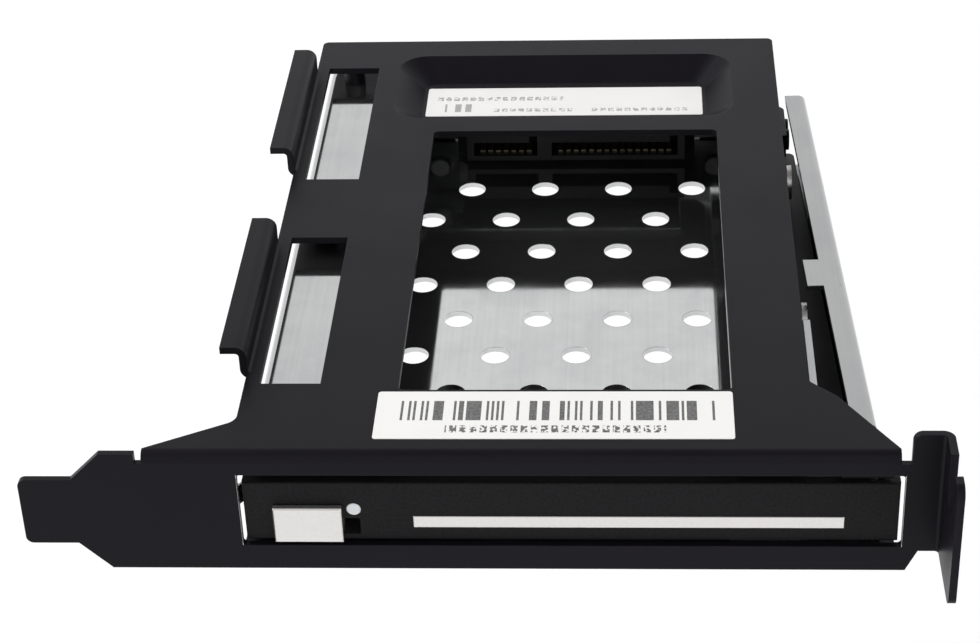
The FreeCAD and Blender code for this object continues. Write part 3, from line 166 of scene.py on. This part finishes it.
class BayColours(bpy.types.PropertyGroup):
    """Colours of the finishes."""
    coat: colour("Powder coat", "Black coat of the plate and bracket", "#120F14")
    coat_worn: colour("Worn coat", "Coat rubbed thin at its edges, and specks in moulded plastic", "#3A3B40")
    coat_sheen: colour("Coat sheen", "Tint of the coat's gloss", "#F1F3FF")
    zinc: colour("Zinc plate", "Bright zinc of floor and rear bracket, and rubbed edges of metal", "#D0D1D1")
    zinc_rail: colour("Rail zinc", "Zinc of the rails", "#C4C5C5")
    zinc_guard: colour("Guard zinc", "Duller zinc of the guard and the ejector's fork", "#AEAFAF")
    zinc_dull: colour("Dull zinc", "Streaks and clouds in the zinc", "#8B8D92")
    steel: colour("Bright steel", "Rivets, pins and punched edges", "#C9C8C5")
    screw: colour("Plain steel", "Screws of the board", "#6E6E70")
    oxide: colour("Black oxide", "Ejector's hook and its rivets", "#2A2A2C")
    spring: colour("Spring steel", "Rolled latch spring, and darker flakes in the silver trim", "#A3A2A0")
    door: colour("Door", "Moulded door", "#111011")
    slide: colour("Ejector slide", "Moulded slide and retainer", "#26262A")
    connector: colour("Connector", "Moulded connector bodies", "#0E0E0F")
    silver: colour("Silver trim", "Release cap and strip", "#E2E0DE")
    lens: colour("Lens", "Milky lens of the indicator", "#EEF1F3")
    mask: colour("Solder mask", "Backplane board", "#101312")
    track: colour("Board track", "Tracks under the solder mask", "#1D2421")
    gold: colour("Gold flash", "Connector contacts", "#B9AE96")
    paper: colour("Label", "White label stock", "#FBFAF8")
    paper_aged: colour("Aged label", "Yellowed patches of the label stock", "#D9D6CC")
    ink: colour("Label print", "Print on the labels", "#2C2B2E")
    floor: colour("Floor", "Studio floor", "#F6F6F6")
    floor_rolled: colour("Rolled floor", "Roller marks in the floor's paint", "#E4E4E4")


def sizes():
    """The sizes a user may change."""
    return bpy.context.scene.bay_sizes


def colours():
    """The colours a user may change."""
    return bpy.context.scene.bay_colours


def add(tree, kind, inputs=None, out=0, **settings):
    """Add one node with its settings, give its sockets values or links, and return one of its outputs.

    A socket goes by its name, or by its number where a node's sockets share one name.
    """
    node = tree.nodes.new("ShaderNode" + kind)
    for name, value in settings.items():
        setattr(node, name, value)
    for key, value in (inputs or {}).items():
        if isinstance(value, bpy.types.NodeSocket):
            tree.links.new(value, node.inputs[key])
        else:
            node.inputs[key].default_value = value
    return node.outputs[out] if len(node.outputs) else node


def blank(name):
    """A new material, its empty tree and the part's own coordinates in metres."""
    material = bpy.data.materials.new(name)
    material.use_nodes = True
    material.node_tree.nodes.clear()
    return material, material.node_tree, add(material.node_tree, "TexCoord", out="Object")


def worn_edges(tree, where, radius):
    """Rounded normals for sharp edges, and how much each point of an edge is rubbed.

    An edge is where the normal rounded over the radius, in mm, leans away from the face's own. A patchy noise
    of 3 mm breaks it up.
    """
    rounded = add(tree, "Bevel", {"Radius": radius * MM}, samples=EDGE_SAMPLES)
    face = add(tree, "NewGeometry", out="Normal")
    lean = add(tree, "VectorMath", {0: rounded, 1: face}, out="Value", operation="DOT_PRODUCT")
    edge = add(tree, "MapRange", {"Value": lean, "From Min": 0.99, "From Max": 0.8})
    patch = add(tree, "TexNoise", {"Vector": where, "Scale": 1 / (3 * MM), "Detail": 4.0})
    broken = add(tree, "MapRange", {"Value": patch, "From Min": 0.42, "From Max": 0.62})
    return rounded, add(tree, "Math", {0: edge, 1: broken}, operation="MULTIPLY")


def inside(tree, where, limits):
    """One inside a box and nothing outside, with its limits on each axis in mm from the bracket's corner."""
    share = 1.0
    for axis, corner, (low, high) in zip("XYZ", CORNER, limits):
        middle = ((low + high) / 2 + corner) * MM
        reach = ((high - low) / 2 + MARGIN) * MM
        place = add(tree, "SeparateXYZ", {0: where}, out=axis)
        near = add(tree, "Math", {0: place, 1: middle, 2: reach}, operation="COMPARE")
        share = add(tree, "Math", {0: near, 1: share}, operation="MULTIPLY")
    return share


def powder_coated_steel(punched):
    """Folded steel with a satin black powder coat.

    A baked powder flows out to a fine orange peel about 0.8 mm across, a little duller in patches of 18 mm,
    and rubs thin along its edges. The door opening's two ends were punched after coating and show bare steel.
    """
    material, tree, where = blank("powder_coated_steel_punched" if punched else "powder_coated_steel")
    rounded, rubbed = worn_edges(tree, where, 0.18)
    peel = add(tree, "TexNoise", {"Vector": where, "Scale": 1 / (0.8 * MM), "Detail": 2.0})
    patch = add(tree, "TexNoise", {"Vector": where, "Scale": 1 / (18 * MM), "Detail": 5.0, "Roughness": 0.6})
    worn = add(tree, "Math", {0: rubbed, 1: 0.35}, operation="MULTIPLY")
    base = add(tree, "Mix", {"Factor": worn, "A": colours().coat, "B": colours().coat_worn},
               out="Result", data_type="RGBA")
    rough = add(tree, "MapRange", {"Value": patch, **NOISE_SPAN, "To Min": 0.34, "To Max": 0.44})
    bare = 0.0
    if punched:
        for end in OPENING_ENDS:
            limits = ((end, end), (0.0, SHEET), OPENING_LEVELS)
            bare = add(tree, "Math", {0: inside(tree, where, limits), 1: bare}, operation="MAXIMUM")
        base = add(tree, "Mix", {"Factor": bare, "A": base, "B": colours().steel},
                   out="Result", data_type="RGBA")
    bump = add(tree, "Bump", {"Height": peel, "Strength": 0.12, "Distance": 0.05 * MM, "Normal": rounded})
    shader = add(tree, "BsdfPrincipled", {
        "Base Color": base, "Roughness": rough, "Metallic": bare, "Normal": bump,
        "Specular IOR Level": 0.13, "Specular Tint": colours().coat_sheen})
    add(tree, "OutputMaterial", {"Surface": shader})
    return material


def zinc_plated_steel(name, tint, low, high):
    """Cold-rolled sheet with bright zinc, with roughness between the two values.

    Thin zinc follows the rolled strip: a near mirror with streaks along the rolling direction, front to back,
    and cloudy patches 9 mm across where the plating is duller. The streaks are drawn 0.5 mm apart, because
    real ones are too fine to show. A thin passivation film scatters a little light, so it isn't wholly
    metallic.
    """
    material, tree, where = blank(name)
    rounded, rubbed = worn_edges(tree, where, 0.12)
    grain = add(tree, "Mapping", {"Vector": where, "Scale": (1 / (0.5 * MM), 1 / (30 * MM), 1 / (0.5 * MM))})
    streak = add(tree, "TexNoise", {"Vector": grain, "Scale": 1.0, "Detail": 3.0})
    cloud = add(tree, "TexNoise", {"Vector": where, "Scale": 1 / (9 * MM), "Detail": 5.0, "Roughness": 0.6})
    rolled = add(tree, "MapRange", {"Value": streak, "From Min": 0.25, "From Max": 0.75, "To Max": 0.13})
    dull = add(tree, "MapRange", {"Value": cloud, "From Min": 0.4, "From Max": 0.65, "To Max": 0.16})
    tone = add(tree, "Math", {0: rolled, 1: dull}, operation="ADD")
    base = add(tree, "Mix", {"Factor": tone, "A": tint, "B": colours().zinc_dull},
               out="Result", data_type="RGBA")
    rough = add(tree, "MapRange", {"Value": cloud, **NOISE_SPAN, "To Min": low, "To Max": high})
    rough = add(tree, "Math", {0: rubbed, 1: 0.1, 2: rough}, operation="MULTIPLY_ADD")
    bump = add(tree, "Bump", {"Height": streak, "Strength": 0.04, "Distance": 0.01 * MM, "Normal": rounded})
    shader = add(tree, "BsdfPrincipled", {
        "Base Color": base, "Roughness": rough, "Metallic": 0.97, "Normal": bump})
    add(tree, "OutputMaterial", {"Surface": shader})
    return material


def turned_metal(name, tint, low, high, size):
    """Plain, blackened or gilt metal of pins, rivets, screws, springs and contacts.

    A tumbled or rolled surface with roughness between the two values: small dents of the given size in mm, as
    coarse as they need to be to show, and edges rubbed bright.
    """
    material, tree, where = blank(name)
    rounded, rubbed = worn_edges(tree, where, 0.08)
    dent = add(tree, "TexNoise", {"Vector": where, "Scale": 1 / (size * MM), "Detail": 4.0})
    rough = add(tree, "MapRange", {"Value": dent, **NOISE_SPAN, "To Min": low, "To Max": high})
    tone = add(tree, "Math", {0: rubbed, 1: 0.25}, operation="MULTIPLY")
    base = add(tree, "Mix", {"Factor": tone, "A": tint, "B": colours().zinc}, out="Result", data_type="RGBA")
    bump = add(tree, "Bump", {"Height": dent, "Strength": 0.1, "Distance": 0.01 * MM, "Normal": rounded})
    shader = add(tree, "BsdfPrincipled", {
        "Base Color": base, "Roughness": rough, "Metallic": 1.0, "Normal": bump})
    add(tree, "OutputMaterial", {"Surface": shader})
    return material


def moulded_plastic(name, tint, grit, low, high, specular):
    """Moulded ABS, nylon or polyester with the texture of a spark-eroded mould.

    Grit of the given size in mm, coarser than the mould's so that it shows, breaks the gloss, with slow flow
    marks 12 mm across and edges polished by hands. Roughness lies between the two values.
    """
    material, tree, where = blank(name)
    rounded, rubbed = worn_edges(tree, where, 0.15)
    spark = add(tree, "TexNoise", {"Vector": where, "Scale": 1 / (grit * MM), "Detail": 3.0})
    flow = add(tree, "TexNoise", {"Vector": where, "Scale": 1 / (12 * MM), "Detail": 3.0})
    rough = add(tree, "MapRange", {"Value": flow, **NOISE_SPAN, "To Min": low, "To Max": high})
    rough = add(tree, "Math", {0: rubbed, 1: -0.12, 2: rough}, operation="MULTIPLY_ADD")
    shade = add(tree, "MapRange", {"Value": spark, "From Min": 0.2, "From Max": 0.8, "To Max": 0.25})
    base = add(tree, "Mix", {"Factor": shade, "A": tint, "B": colours().coat_worn},
               out="Result", data_type="RGBA")
    bump = add(tree, "Bump", {"Height": spark, "Strength": 0.15, "Distance": 0.03 * MM, "Normal": rounded})
    shader = add(tree, "BsdfPrincipled", {
        "Base Color": base, "Roughness": rough, "Normal": bump, "Specular IOR Level": specular})
    add(tree, "OutputMaterial", {"Surface": shader})
    return material


def silver_painted_plastic():
    """ABS with a metallic silver lacquer.

    Flakes give a soft sparkle, drawn 0.15 mm wide because real ones are too fine to show, and thumbs leave
    duller patches 4 mm across.
    """
    material, tree, where = blank("silver_painted_plastic")
    rounded = add(tree, "Bevel", {"Radius": 0.12 * MM}, samples=EDGE_SAMPLES)
    flake = add(tree, "TexVoronoi", {"Vector": where, "Scale": 1 / (0.15 * MM)}, out="Color")
    thumb = add(tree, "TexNoise", {"Vector": where, "Scale": 1 / (4 * MM), "Detail": 4.0})
    glint = add(tree, "SeparateColor", {0: flake})
    tone = add(tree, "MapRange", {"Value": glint, "To Max": 0.12})
    base = add(tree, "Mix", {"Factor": tone, "A": colours().silver, "B": colours().spring},
               out="Result", data_type="RGBA")
    rough = add(tree, "MapRange", {"Value": thumb, **NOISE_SPAN, "To Min": 0.2, "To Max": 0.28})
    shader = add(tree, "BsdfPrincipled", {
        "Base Color": base, "Roughness": rough, "Metallic": 0.9, "Normal": rounded,
        "Coat Weight": 0.2, "Coat Roughness": 0.1})
    add(tree, "OutputMaterial", {"Surface": shader})
    return material


def milky_polycarbonate():
    """Light pipe of milky polycarbonate: moulded glossy, cloudy inside with specks of 0.4 mm."""
    material, tree, where = blank("milky_polycarbonate")
    cloud = add(tree, "TexNoise", {"Vector": where, "Scale": 1 / (0.4 * MM), "Detail": 2.0})
    tone = add(tree, "MapRange", {"Value": cloud, **NOISE_SPAN, "To Max": 0.2})
    base = add(tree, "Mix", {"Factor": tone, "A": colours().lens, "B": colours().zinc},
               out="Result", data_type="RGBA")
    shader = add(tree, "BsdfPrincipled", {
        "Base Color": base, "Roughness": 0.12, "IOR": 1.58,
        "Subsurface Weight": 0.3, "Subsurface Scale": 0.5 * MM})
    add(tree, "OutputMaterial", {"Surface": shader})
    return material


def solder_masked_laminate():
    """Glass-epoxy board under black solder mask.

    Tracks run under the mask as bands about 0.8 mm apart, up and across, with a glassy gloss over them.
    """
    material, tree, where = blank("solder_masked_laminate")
    turned = add(tree, "Mapping", {"Vector": where, "Rotation": (np.pi / 2, 0.0, 0.0)})
    track = add(tree, "TexBrick", {
        "Vector": turned, "Scale": 1 / (2.4 * MM), "Mortar Size": 0.09, "Bias": 0.0,
        "Brick Width": 1.7, "Row Height": 0.35}, out="Fac")
    base = add(tree, "Mix", {"Factor": track, "A": colours().mask, "B": colours().track},
               out="Result", data_type="RGBA")
    bump = add(tree, "Bump", {"Height": track, "Strength": 0.2, "Distance": 0.03 * MM})
    shader = add(tree, "BsdfPrincipled", {"Base Color": base, "Roughness": 0.22, "Normal": bump, "IOR": 1.55})
    add(tree, "OutputMaterial", {"Surface": shader})
    return material


def printed_label(name, bars, letters, strength, seed):
    """White satin label stock with a generic print of the given strength.

    Bars of random width fill some boxes of the label and a row of letter-like blots others, each box given in
    mm along the bracket and front to back. A bar is dark where the random number of its step along the
    bracket says so. A blot is a step four bars wide with a gap after it, broken by a grain of 0.4 mm. The
    stock's fibres are drawn 0.35 mm wide, because real ones are too fine to show, and it yellows in patches
    of 7 mm.
    """
    material, tree, where = blank(name)
    fibre = add(tree, "TexNoise", {"Vector": where, "Scale": 1 / (0.35 * MM), "Detail": 3.0})
    stain = add(tree, "TexNoise", {"Vector": where, "Scale": 1 / (7 * MM), "Detail": 4.0})
    across = add(tree, "SeparateXYZ", {0: where}, out="X")
    place = add(tree, "Math", {0: across, 1: 1 / sizes().bar}, operation="MULTIPLY")
    whole = add(tree, "Math", {0: place}, operation="FLOOR")
    step = add(tree, "Math", {0: whole, 1: seed}, operation="ADD")
    chance = add(tree, "TexWhiteNoise", {"W": step}, noise_dimensions="1D")
    bar = add(tree, "Math", {0: chance, 1: BAR_LIMIT}, operation="GREATER_THAN")
    blots = add(tree, "Math", {0: place, 1: BLOT_STEPS}, operation="DIVIDE")
    along = add(tree, "Math", {0: blots}, operation="FRACT")
    filled = add(tree, "Math", {0: along, 1: BLOT_SHARE}, operation="LESS_THAN")
    grain = add(tree, "TexNoise", {"Vector": where, "Scale": 1 / (0.4 * MM), "Detail": 1.0, "Roughness": 0.3})
    stroke = add(tree, "MapRange", {"Value": grain, "From Min": 0.42, "From Max": 0.5})
    letter = add(tree, "Math", {0: filled, 1: stroke}, operation="MULTIPLY")
    printed = 0.0
    for pattern, boxes in ((bar, bars), (letter, letters)):
        for box in boxes:
            within = inside(tree, where, (*box, (0.0, BRACKET_TOP)))
            dark = add(tree, "Math", {0: pattern, 1: within}, operation="MULTIPLY")
            printed = add(tree, "Math", {0: dark, 1: printed}, operation="MAXIMUM")
    solid = add(tree, "MapRange", {
        "Value": fibre, **NOISE_SPAN, "To Min": strength * 0.85, "To Max": strength})
    share = add(tree, "Math", {0: printed, 1: solid}, operation="MULTIPLY")
    aged = add(tree, "MapRange", {"Value": stain, "From Min": 0.45, "From Max": 0.75, "To Max": 0.12})
    stock = add(tree, "Mix", {"Factor": aged, "A": colours().paper, "B": colours().paper_aged},
                out="Result", data_type="RGBA")
    base = add(tree, "Mix", {"Factor": share, "A": stock, "B": colours().ink}, out="Result", data_type="RGBA")
    rough = add(tree, "MapRange", {
        "Value": fibre, "From Min": 0.2, "From Max": 0.8, "To Min": 0.4, "To Max": 0.55})
    bump = add(tree, "Bump", {"Height": fibre, "Strength": 0.05, "Distance": 0.01 * MM})
    shader = add(tree, "BsdfPrincipled", {"Base Color": base, "Roughness": rough, "Normal": bump})
    add(tree, "OutputMaterial", {"Surface": shader})
    return material


def seen_directly(tree):
    """One for rays that see the surround, in metal or glass too, and nothing for rays that only light."""
    seen = 0.0
    for ray in ("Is Camera Ray", "Is Glossy Ray", "Is Transmission Ray"):
        seen = add(tree, "Math", {0: add(tree, "LightPath", out=ray), 1: seen}, operation="MAXIMUM")
    return seen


def dress(material, *nodes):
    """Give CAD nodes a material in place of their plain one."""
    for node in nodes:
        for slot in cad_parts[node].material_slots:
            slot.material = material


def add_object(name, data):
    """A new object in the scene, at the origin, with the given data."""
    body = bpy.data.objects.new(name, data)
    bpy.context.scene.collection.objects.link(body)
    return body


def grid_mesh(name, points):
    """A closed mesh from a grid of points in mm from the bracket's corner.

    Each row is a ring that closes on itself, is joined to the next row, and turns to the left seen from the
    last row. The first and the last row are closed by one flat face each.
    """
    rows, columns, _ = points.shape
    row = np.arange(rows - 1)[:, None]
    column = np.arange(columns)[None, :]
    following = (column + 1) % columns
    quads = np.stack([row * columns + column, row * columns + following,
                      (row + 1) * columns + following, (row + 1) * columns + column], axis=-1).reshape(-1, 4)
    first = np.arange(columns)[::-1]
    last = np.arange(columns) + (rows - 1) * columns
    mesh = bpy.data.meshes.new(name)
    mesh.from_pydata(((points + CORNER) * MM).reshape(-1, 3).tolist(), [],
                     [*quads.tolist(), first.tolist(), last.tolist()])
    return add_object(name, mesh)


def label_sheet(name, left, front, level, width, depth):
    """A thin label: a rounded rectangle with its upper edge drawn in, over a skirt of the label's thickness.

    The outline is four quarter circles of the corner radius set at the corners. Each row of the grid is that
    outline drawn in towards the middle by its share, at the row's own height.
    """
    corner = sizes().label_corner / MM
    thick = sizes().label_thickness / MM
    quarter = np.linspace(0, np.pi / 2, ARC_POINTS)
    turns = np.arange(4)[:, None] * np.pi / 2 + quarter
    signs = np.array([[1, 1], [-1, 1], [-1, -1], [1, -1]])
    half = np.array([width, depth]) / 2
    centres = signs * (half - corner)
    ring = centres[:, None, :] + corner * np.stack([np.cos(turns), np.sin(turns)], axis=-1)
    shares, heights = np.array(LABEL_ROWS).T
    flat = np.array([left, front]) + half + shares[:, None, None] * ring.reshape(1, -1, 2)
    high = np.broadcast_to(level + thick * heights[:, None, None], (*flat.shape[:2], 1))
    return grid_mesh(name, np.concatenate([flat, high], axis=-1))


def spring_leaf(name):
    """A strip of spring steel on edge, carried along a path that bends, with a notch in its lower edge.

    The path runs straight between its corners. At a corner its heading turns evenly from one run's to the
    next's, so for the heading h a point of the arc is the arc's start plus the bend radius times
    (sin h - sin h0, cos h0 - cos h). Each row of the grid is the strip's section square to the heading.
    """
    corners = np.array(SPRING_PATH)
    runs = np.diff(corners, axis=0)
    heading = np.unwrap(np.arctan2(runs[:, 1], runs[:, 0]))
    turn = np.diff(heading)
    way = np.stack([np.cos(heading), np.sin(heading)], axis=-1)
    start = corners[1:-1] - way[:-1] * (SPRING_BEND * np.tan(np.abs(turn) / 2))[:, None]
    first = heading[:-1, None]
    along = first + turn[:, None] * np.linspace(0, 1, ARC_POINTS)
    swing = np.stack([np.sin(along) - np.sin(first), np.cos(first) - np.cos(along)], axis=-1)
    arcs = start[:, None, :] + SPRING_BEND * np.sign(turn)[:, None, None] * swing
    left, right = SPRING_NOTCH
    sides = np.array([right, right - SPRING_NOTCH_SLOPE, left + SPRING_NOTCH_SLOPE, left])
    notch = np.stack([sides, np.full(len(sides), corners[-2, 1])], axis=-1)
    before = arcs[:-1].reshape(-1, 2)
    line = np.concatenate([corners[:1], before, notch, arcs[-1], corners[-1:]])
    facing = np.concatenate([heading[:1], along[:-1].ravel(), np.full(len(sides), heading[-2]),
                             along[-1], heading[-1:]])
    low = np.full(len(line), SPRING_LEVELS[0])
    # Of the notch's four points the two in the middle are its top
    raised = 1 + len(before) + 1
    low[raised:raised + 2] = SPRING_NOTCH_TOP
    top = np.full(len(line), SPRING_LEVELS[1])
    aside = np.stack([-np.sin(facing), np.cos(facing)], axis=-1) * SPRING_THICKNESS / 2
    flat = np.stack([line + aside, line + aside, line - aside, line - aside], axis=1)
    high = np.stack([low, top, top, low], axis=1)[..., None]
    return grid_mesh(name, np.concatenate([flat, high], axis=-1))


class SheetFinish(bpy.types.Operator):
    """Powder coat on the folded plate, its lower support and the rivets painted with them"""
    bl_idname = "bay.sheet_finish"
    bl_label = "Black sheet"

    def execute(self, context):
        dress(powder_coated_steel(True), "slot_plate")
        dress(powder_coated_steel(False), "lower_support", "plate_studs", "rear_rivets", "hinge_stud")
        return {"FINISHED"}


class CageFinish(bpy.types.Operator):
    """Bright zinc on the floor, rear bracket, rails, guard and the ejector's fork"""
    bl_idname = "bay.cage_finish"
    bl_label = "Zinc cage"

    def execute(self, context):
        finishes = (
            ("zinc_plated_floor", colours().zinc, 0.04, 0.09, ("floor_plate", "rear_bracket")),
            ("zinc_plated_rail", colours().zinc_rail, 0.05, 0.1, ("left_rail", "right_rail")),
            ("zinc_plated_guard", colours().zinc_guard, 0.1, 0.2, ("side_guard", "ejector_fork")),
        )
        for *finish, nodes in finishes:
            dress(zinc_plated_steel(*finish), *nodes)
        return {"FINISHED"}


class FastenerFinish(bpy.types.Operator):
    """Bright steel on rivets and pins, plain steel on screws, black oxide on the hook, gold on contacts"""
    bl_idname = "bay.fastener_finish"
    bl_label = "Fasteners and contacts"

    def execute(self, context):
        finishes = (
            ("bright_steel", colours().steel, 0.22, 0.34, 0.5,
             ("floor_rivets", "slide_rivets", "hinge_pin", "hinge_washers", "crank_pin", "latch_rivet")),
            ("plain_steel", colours().screw, 0.35, 0.5, 0.5, ("board_screws",)),
            ("black_oxide_steel", colours().oxide, 0.35, 0.5, 0.5, ("ejector_hook", "ejector_rivets")),
            ("gold_flashed_bronze", colours().gold, 0.3, 0.42, 0.4, ("receptacle_contacts", "plug_contacts")),
        )
        for *finish, nodes in finishes:
            dress(turned_metal(*finish), *nodes)
        return {"FINISHED"}


class LatchSpring(bpy.types.Operator):
    """Spring on the door's back, which rides with the door and takes the place of the plain latch spring"""
    bl_idname = "bay.latch_spring"
    bl_label = "Latch spring"

    def execute(self, context):
        piece = spring_leaf("spring_leaf")
        piece.data.materials.append(turned_metal("rolled_spring_steel", colours().spring, 0.2, 0.32, 0.8))
        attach(piece, "door")
        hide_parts("latch_spring")
        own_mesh(piece)
        return {"FINISHED"}


class DoorFinish(bpy.types.Operator):
    """Moulded black door with its silver cap and strip, and the milky lens"""
    bl_idname = "bay.door_finish"
    bl_label = "Door"

    def execute(self, context):
        dress(moulded_plastic("moulded_abs", colours().door, 0.4, 0.42, 0.52, 0.1),
              "door_panel", "hinge_block")
        dress(silver_painted_plastic(), "release_slider", "accent_strip")
        dress(milky_polycarbonate(), "indicator_lens")
        return {"FINISHED"}


class ConnectorFinish(bpy.types.Operator):
    """Moulded connectors, slides and the board behind the drive"""
    bl_idname = "bay.connector_finish"
    bl_label = "Connectors and slides"

    def execute(self, context):
        dress(moulded_plastic("moulded_nylon", colours().slide, 0.5, 0.4, 0.5, 0.4),
              "ejector_slide", "slider_plate")
        dress(moulded_plastic("moulded_polyester", colours().connector, 0.3, 0.4, 0.5, 0.2),
              "drive_receptacle", "data_plug", "power_plug")
        dress(solder_masked_laminate(), "backplane_board")
        return {"FINISHED"}


class Labels(bpy.types.Operator):
    """Two white labels with a generic print, in front of the window and in the pocket behind it"""
    bl_idname = "bay.labels"
    bl_label = "Labels"

    def execute(self, context):
        size = sizes()
        labels = (
            ("front_label", FRONT_PLACE, PLATE_TOP, size.front_width, size.front_depth, FRONT_PRINT),
            ("rear_label", REAR_PLACE, POCKET_FLOOR, size.rear_width, size.rear_depth, REAR_PRINT),
        )
        for name, (left, front), level, width, depth, pattern in labels:
            piece = label_sheet(name, left, front, level, width / MM, depth / MM)
            piece.data.materials.append(printed_label(name + "_stock", **pattern))
            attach(piece, "frame")
        return {"FINISHED"}


class Studio(bpy.types.Operator):
    """Pale floor, soft lights and the camera"""
    bl_idname = "bay.studio"
    bl_label = "Studio"

    def execute(self, context):
        self.add_floor()
        self.add_lights()
        self.add_camera()
        context.scene.view_settings.view_transform = "Standard"
        return {"FINISHED"}

    def add_floor(self):
        """A flat square grid under the part, in pale paint, lifted to white where the lamps don't reach."""
        reach = np.linspace(-FLOOR_REACH, FLOOR_REACH, FLOOR_LINES)
        across, back = np.meshgrid(reach, reach)
        level = np.full_like(across, -sizes().floor_drop)
        points = np.stack([across, back, level], axis=-1).reshape(-1, 3)
        index = np.arange(len(points)).reshape(across.shape)
        quads = np.stack([index[:-1, :-1], index[:-1, 1:], index[1:, 1:], index[1:, :-1]], axis=-1)
        mesh = bpy.data.meshes.new("studio_floor")
        mesh.from_pydata(points.tolist(), [], quads.reshape(-1, 4).tolist())
        floor = add_object("studio_floor", mesh)
        material, tree, where = blank("painted_board")
        roll = add(tree, "TexNoise", {"Vector": where, "Scale": 1 / (60 * MM), "Detail": 3.0})
        tone = add(tree, "MapRange", {"Value": roll, **NOISE_SPAN, "To Max": 0.03})
        base = add(tree, "Mix", {"Factor": tone, "A": colours().floor, "B": colours().floor_rolled},
                   out="Result", data_type="RGBA")
        away = add(tree, "VectorMath", {0: where}, out="Value", operation="LENGTH")
        (near, dim), (far, bright) = LIFT_NEAR, LIFT_FAR
        fade = add(tree, "MapRange", {
            "Value": away, "From Min": near, "From Max": far, "To Min": dim, "To Max": bright})
        lift = add(tree, "Math", {0: seen_directly(tree), 1: fade}, operation="MULTIPLY")
        shader = add(tree, "BsdfPrincipled", {
            "Base Color": base, "Roughness": 0.9, "Specular IOR Level": 0.1,
            "Emission Color": WHITE, "Emission Strength": lift})
        add(tree, "OutputMaterial", {"Surface": shader})
        mesh.materials.append(material)

    def add_lights(self):
        """A broad lamp on each side, and a surround that metal sees as white walls under a dimmer ceiling."""
        for name, power, width, place in LAMPS:
            lamp = bpy.data.lights.new(name, "AREA")
            lamp.energy = power
            lamp.size = width
            aim = (-Vector(place)).to_track_quat("-Z", "Y").to_matrix().to_4x4()
            add_object(name, lamp).matrix_world = Matrix.Translation(place) @ aim
        world = bpy.data.worlds.new("studio")
        world.use_nodes = True
        tree = world.node_tree
        tree.nodes.clear()
        up = add(tree, "SeparateXYZ", {0: add(tree, "TexCoord", out="Generated")}, out="Z")
        low, high = CEILING_EDGE
        dome = add(tree, "MapRange", {
            "Value": up, "From Min": low, "From Max": high, "To Min": WALLS, "To Max": CEILING})
        seen = seen_directly(tree)
        strength = add(tree, "MapRange", {"Value": seen, "To Min": SURROUND_LIGHT, "To Max": dome})
        sky = add(tree, "Background", {"Color": WHITE, "Strength": strength})
        add(tree, "OutputWorld", {"Surface": sky})
        bpy.context.scene.world = world

    def add_camera(self):
        """The camera stands in front of the door and looks down on it at about 33 degrees."""
        camera = bpy.data.cameras.new("camera")
        camera.lens = LENS
        camera.sensor_fit = "HORIZONTAL"
        camera.sensor_width = SENSOR
        camera.clip_start = NEAREST
        body = add_object("camera", camera)
        body.matrix_world = CAMERA_PLACE
        bpy.context.scene.camera = body


STEPS = (SheetFinish, CageFinish, FastenerFinish, LatchSpring, DoorFinish, ConnectorFinish, Labels, Studio)


class BayPanel(bpy.types.Panel):
    """Steps, sizes and colours of the drive bay"""
    bl_idname = "VIEW3D_PT_bay"
    bl_label = "Drive bay"
    bl_space_type = "VIEW_3D"
    bl_region_type = "UI"
    bl_category = "Drive bay"

    def draw(self, context):
        for step in STEPS:
            self.layout.operator(step.bl_idname)
        for group in (context.scene.bay_sizes, context.scene.bay_colours):
            for name in group.bl_rna.properties.keys():
                if name not in ("rna_type", "name"):
                    self.layout.prop(group, name)


CLASSES = (BaySizes, BayColours, *STEPS, BayPanel)


def register():
    """Make the classes and the scene's own sizes and colours known."""
    for kind in CLASSES:
        bpy.utils.register_class(kind)
    bpy.types.Scene.bay_sizes = bpy.props.PointerProperty(type=BaySizes)
    bpy.types.Scene.bay_colours = bpy.props.PointerProperty(type=BayColours)


def unregister():
    """Take the classes and the scene's own values away again."""
    del bpy.types.Scene.bay_colours
    del bpy.types.Scene.bay_sizes
    for kind in reversed(CLASSES):
        bpy.utils.unregister_class(kind)


def main():
    """Run every step in order."""
    register()
    for step in STEPS:
        group, name = step.bl_idname.split(".")
        getattr(getattr(bpy.ops, group), name)()


if __name__ == "__main__":
    main()
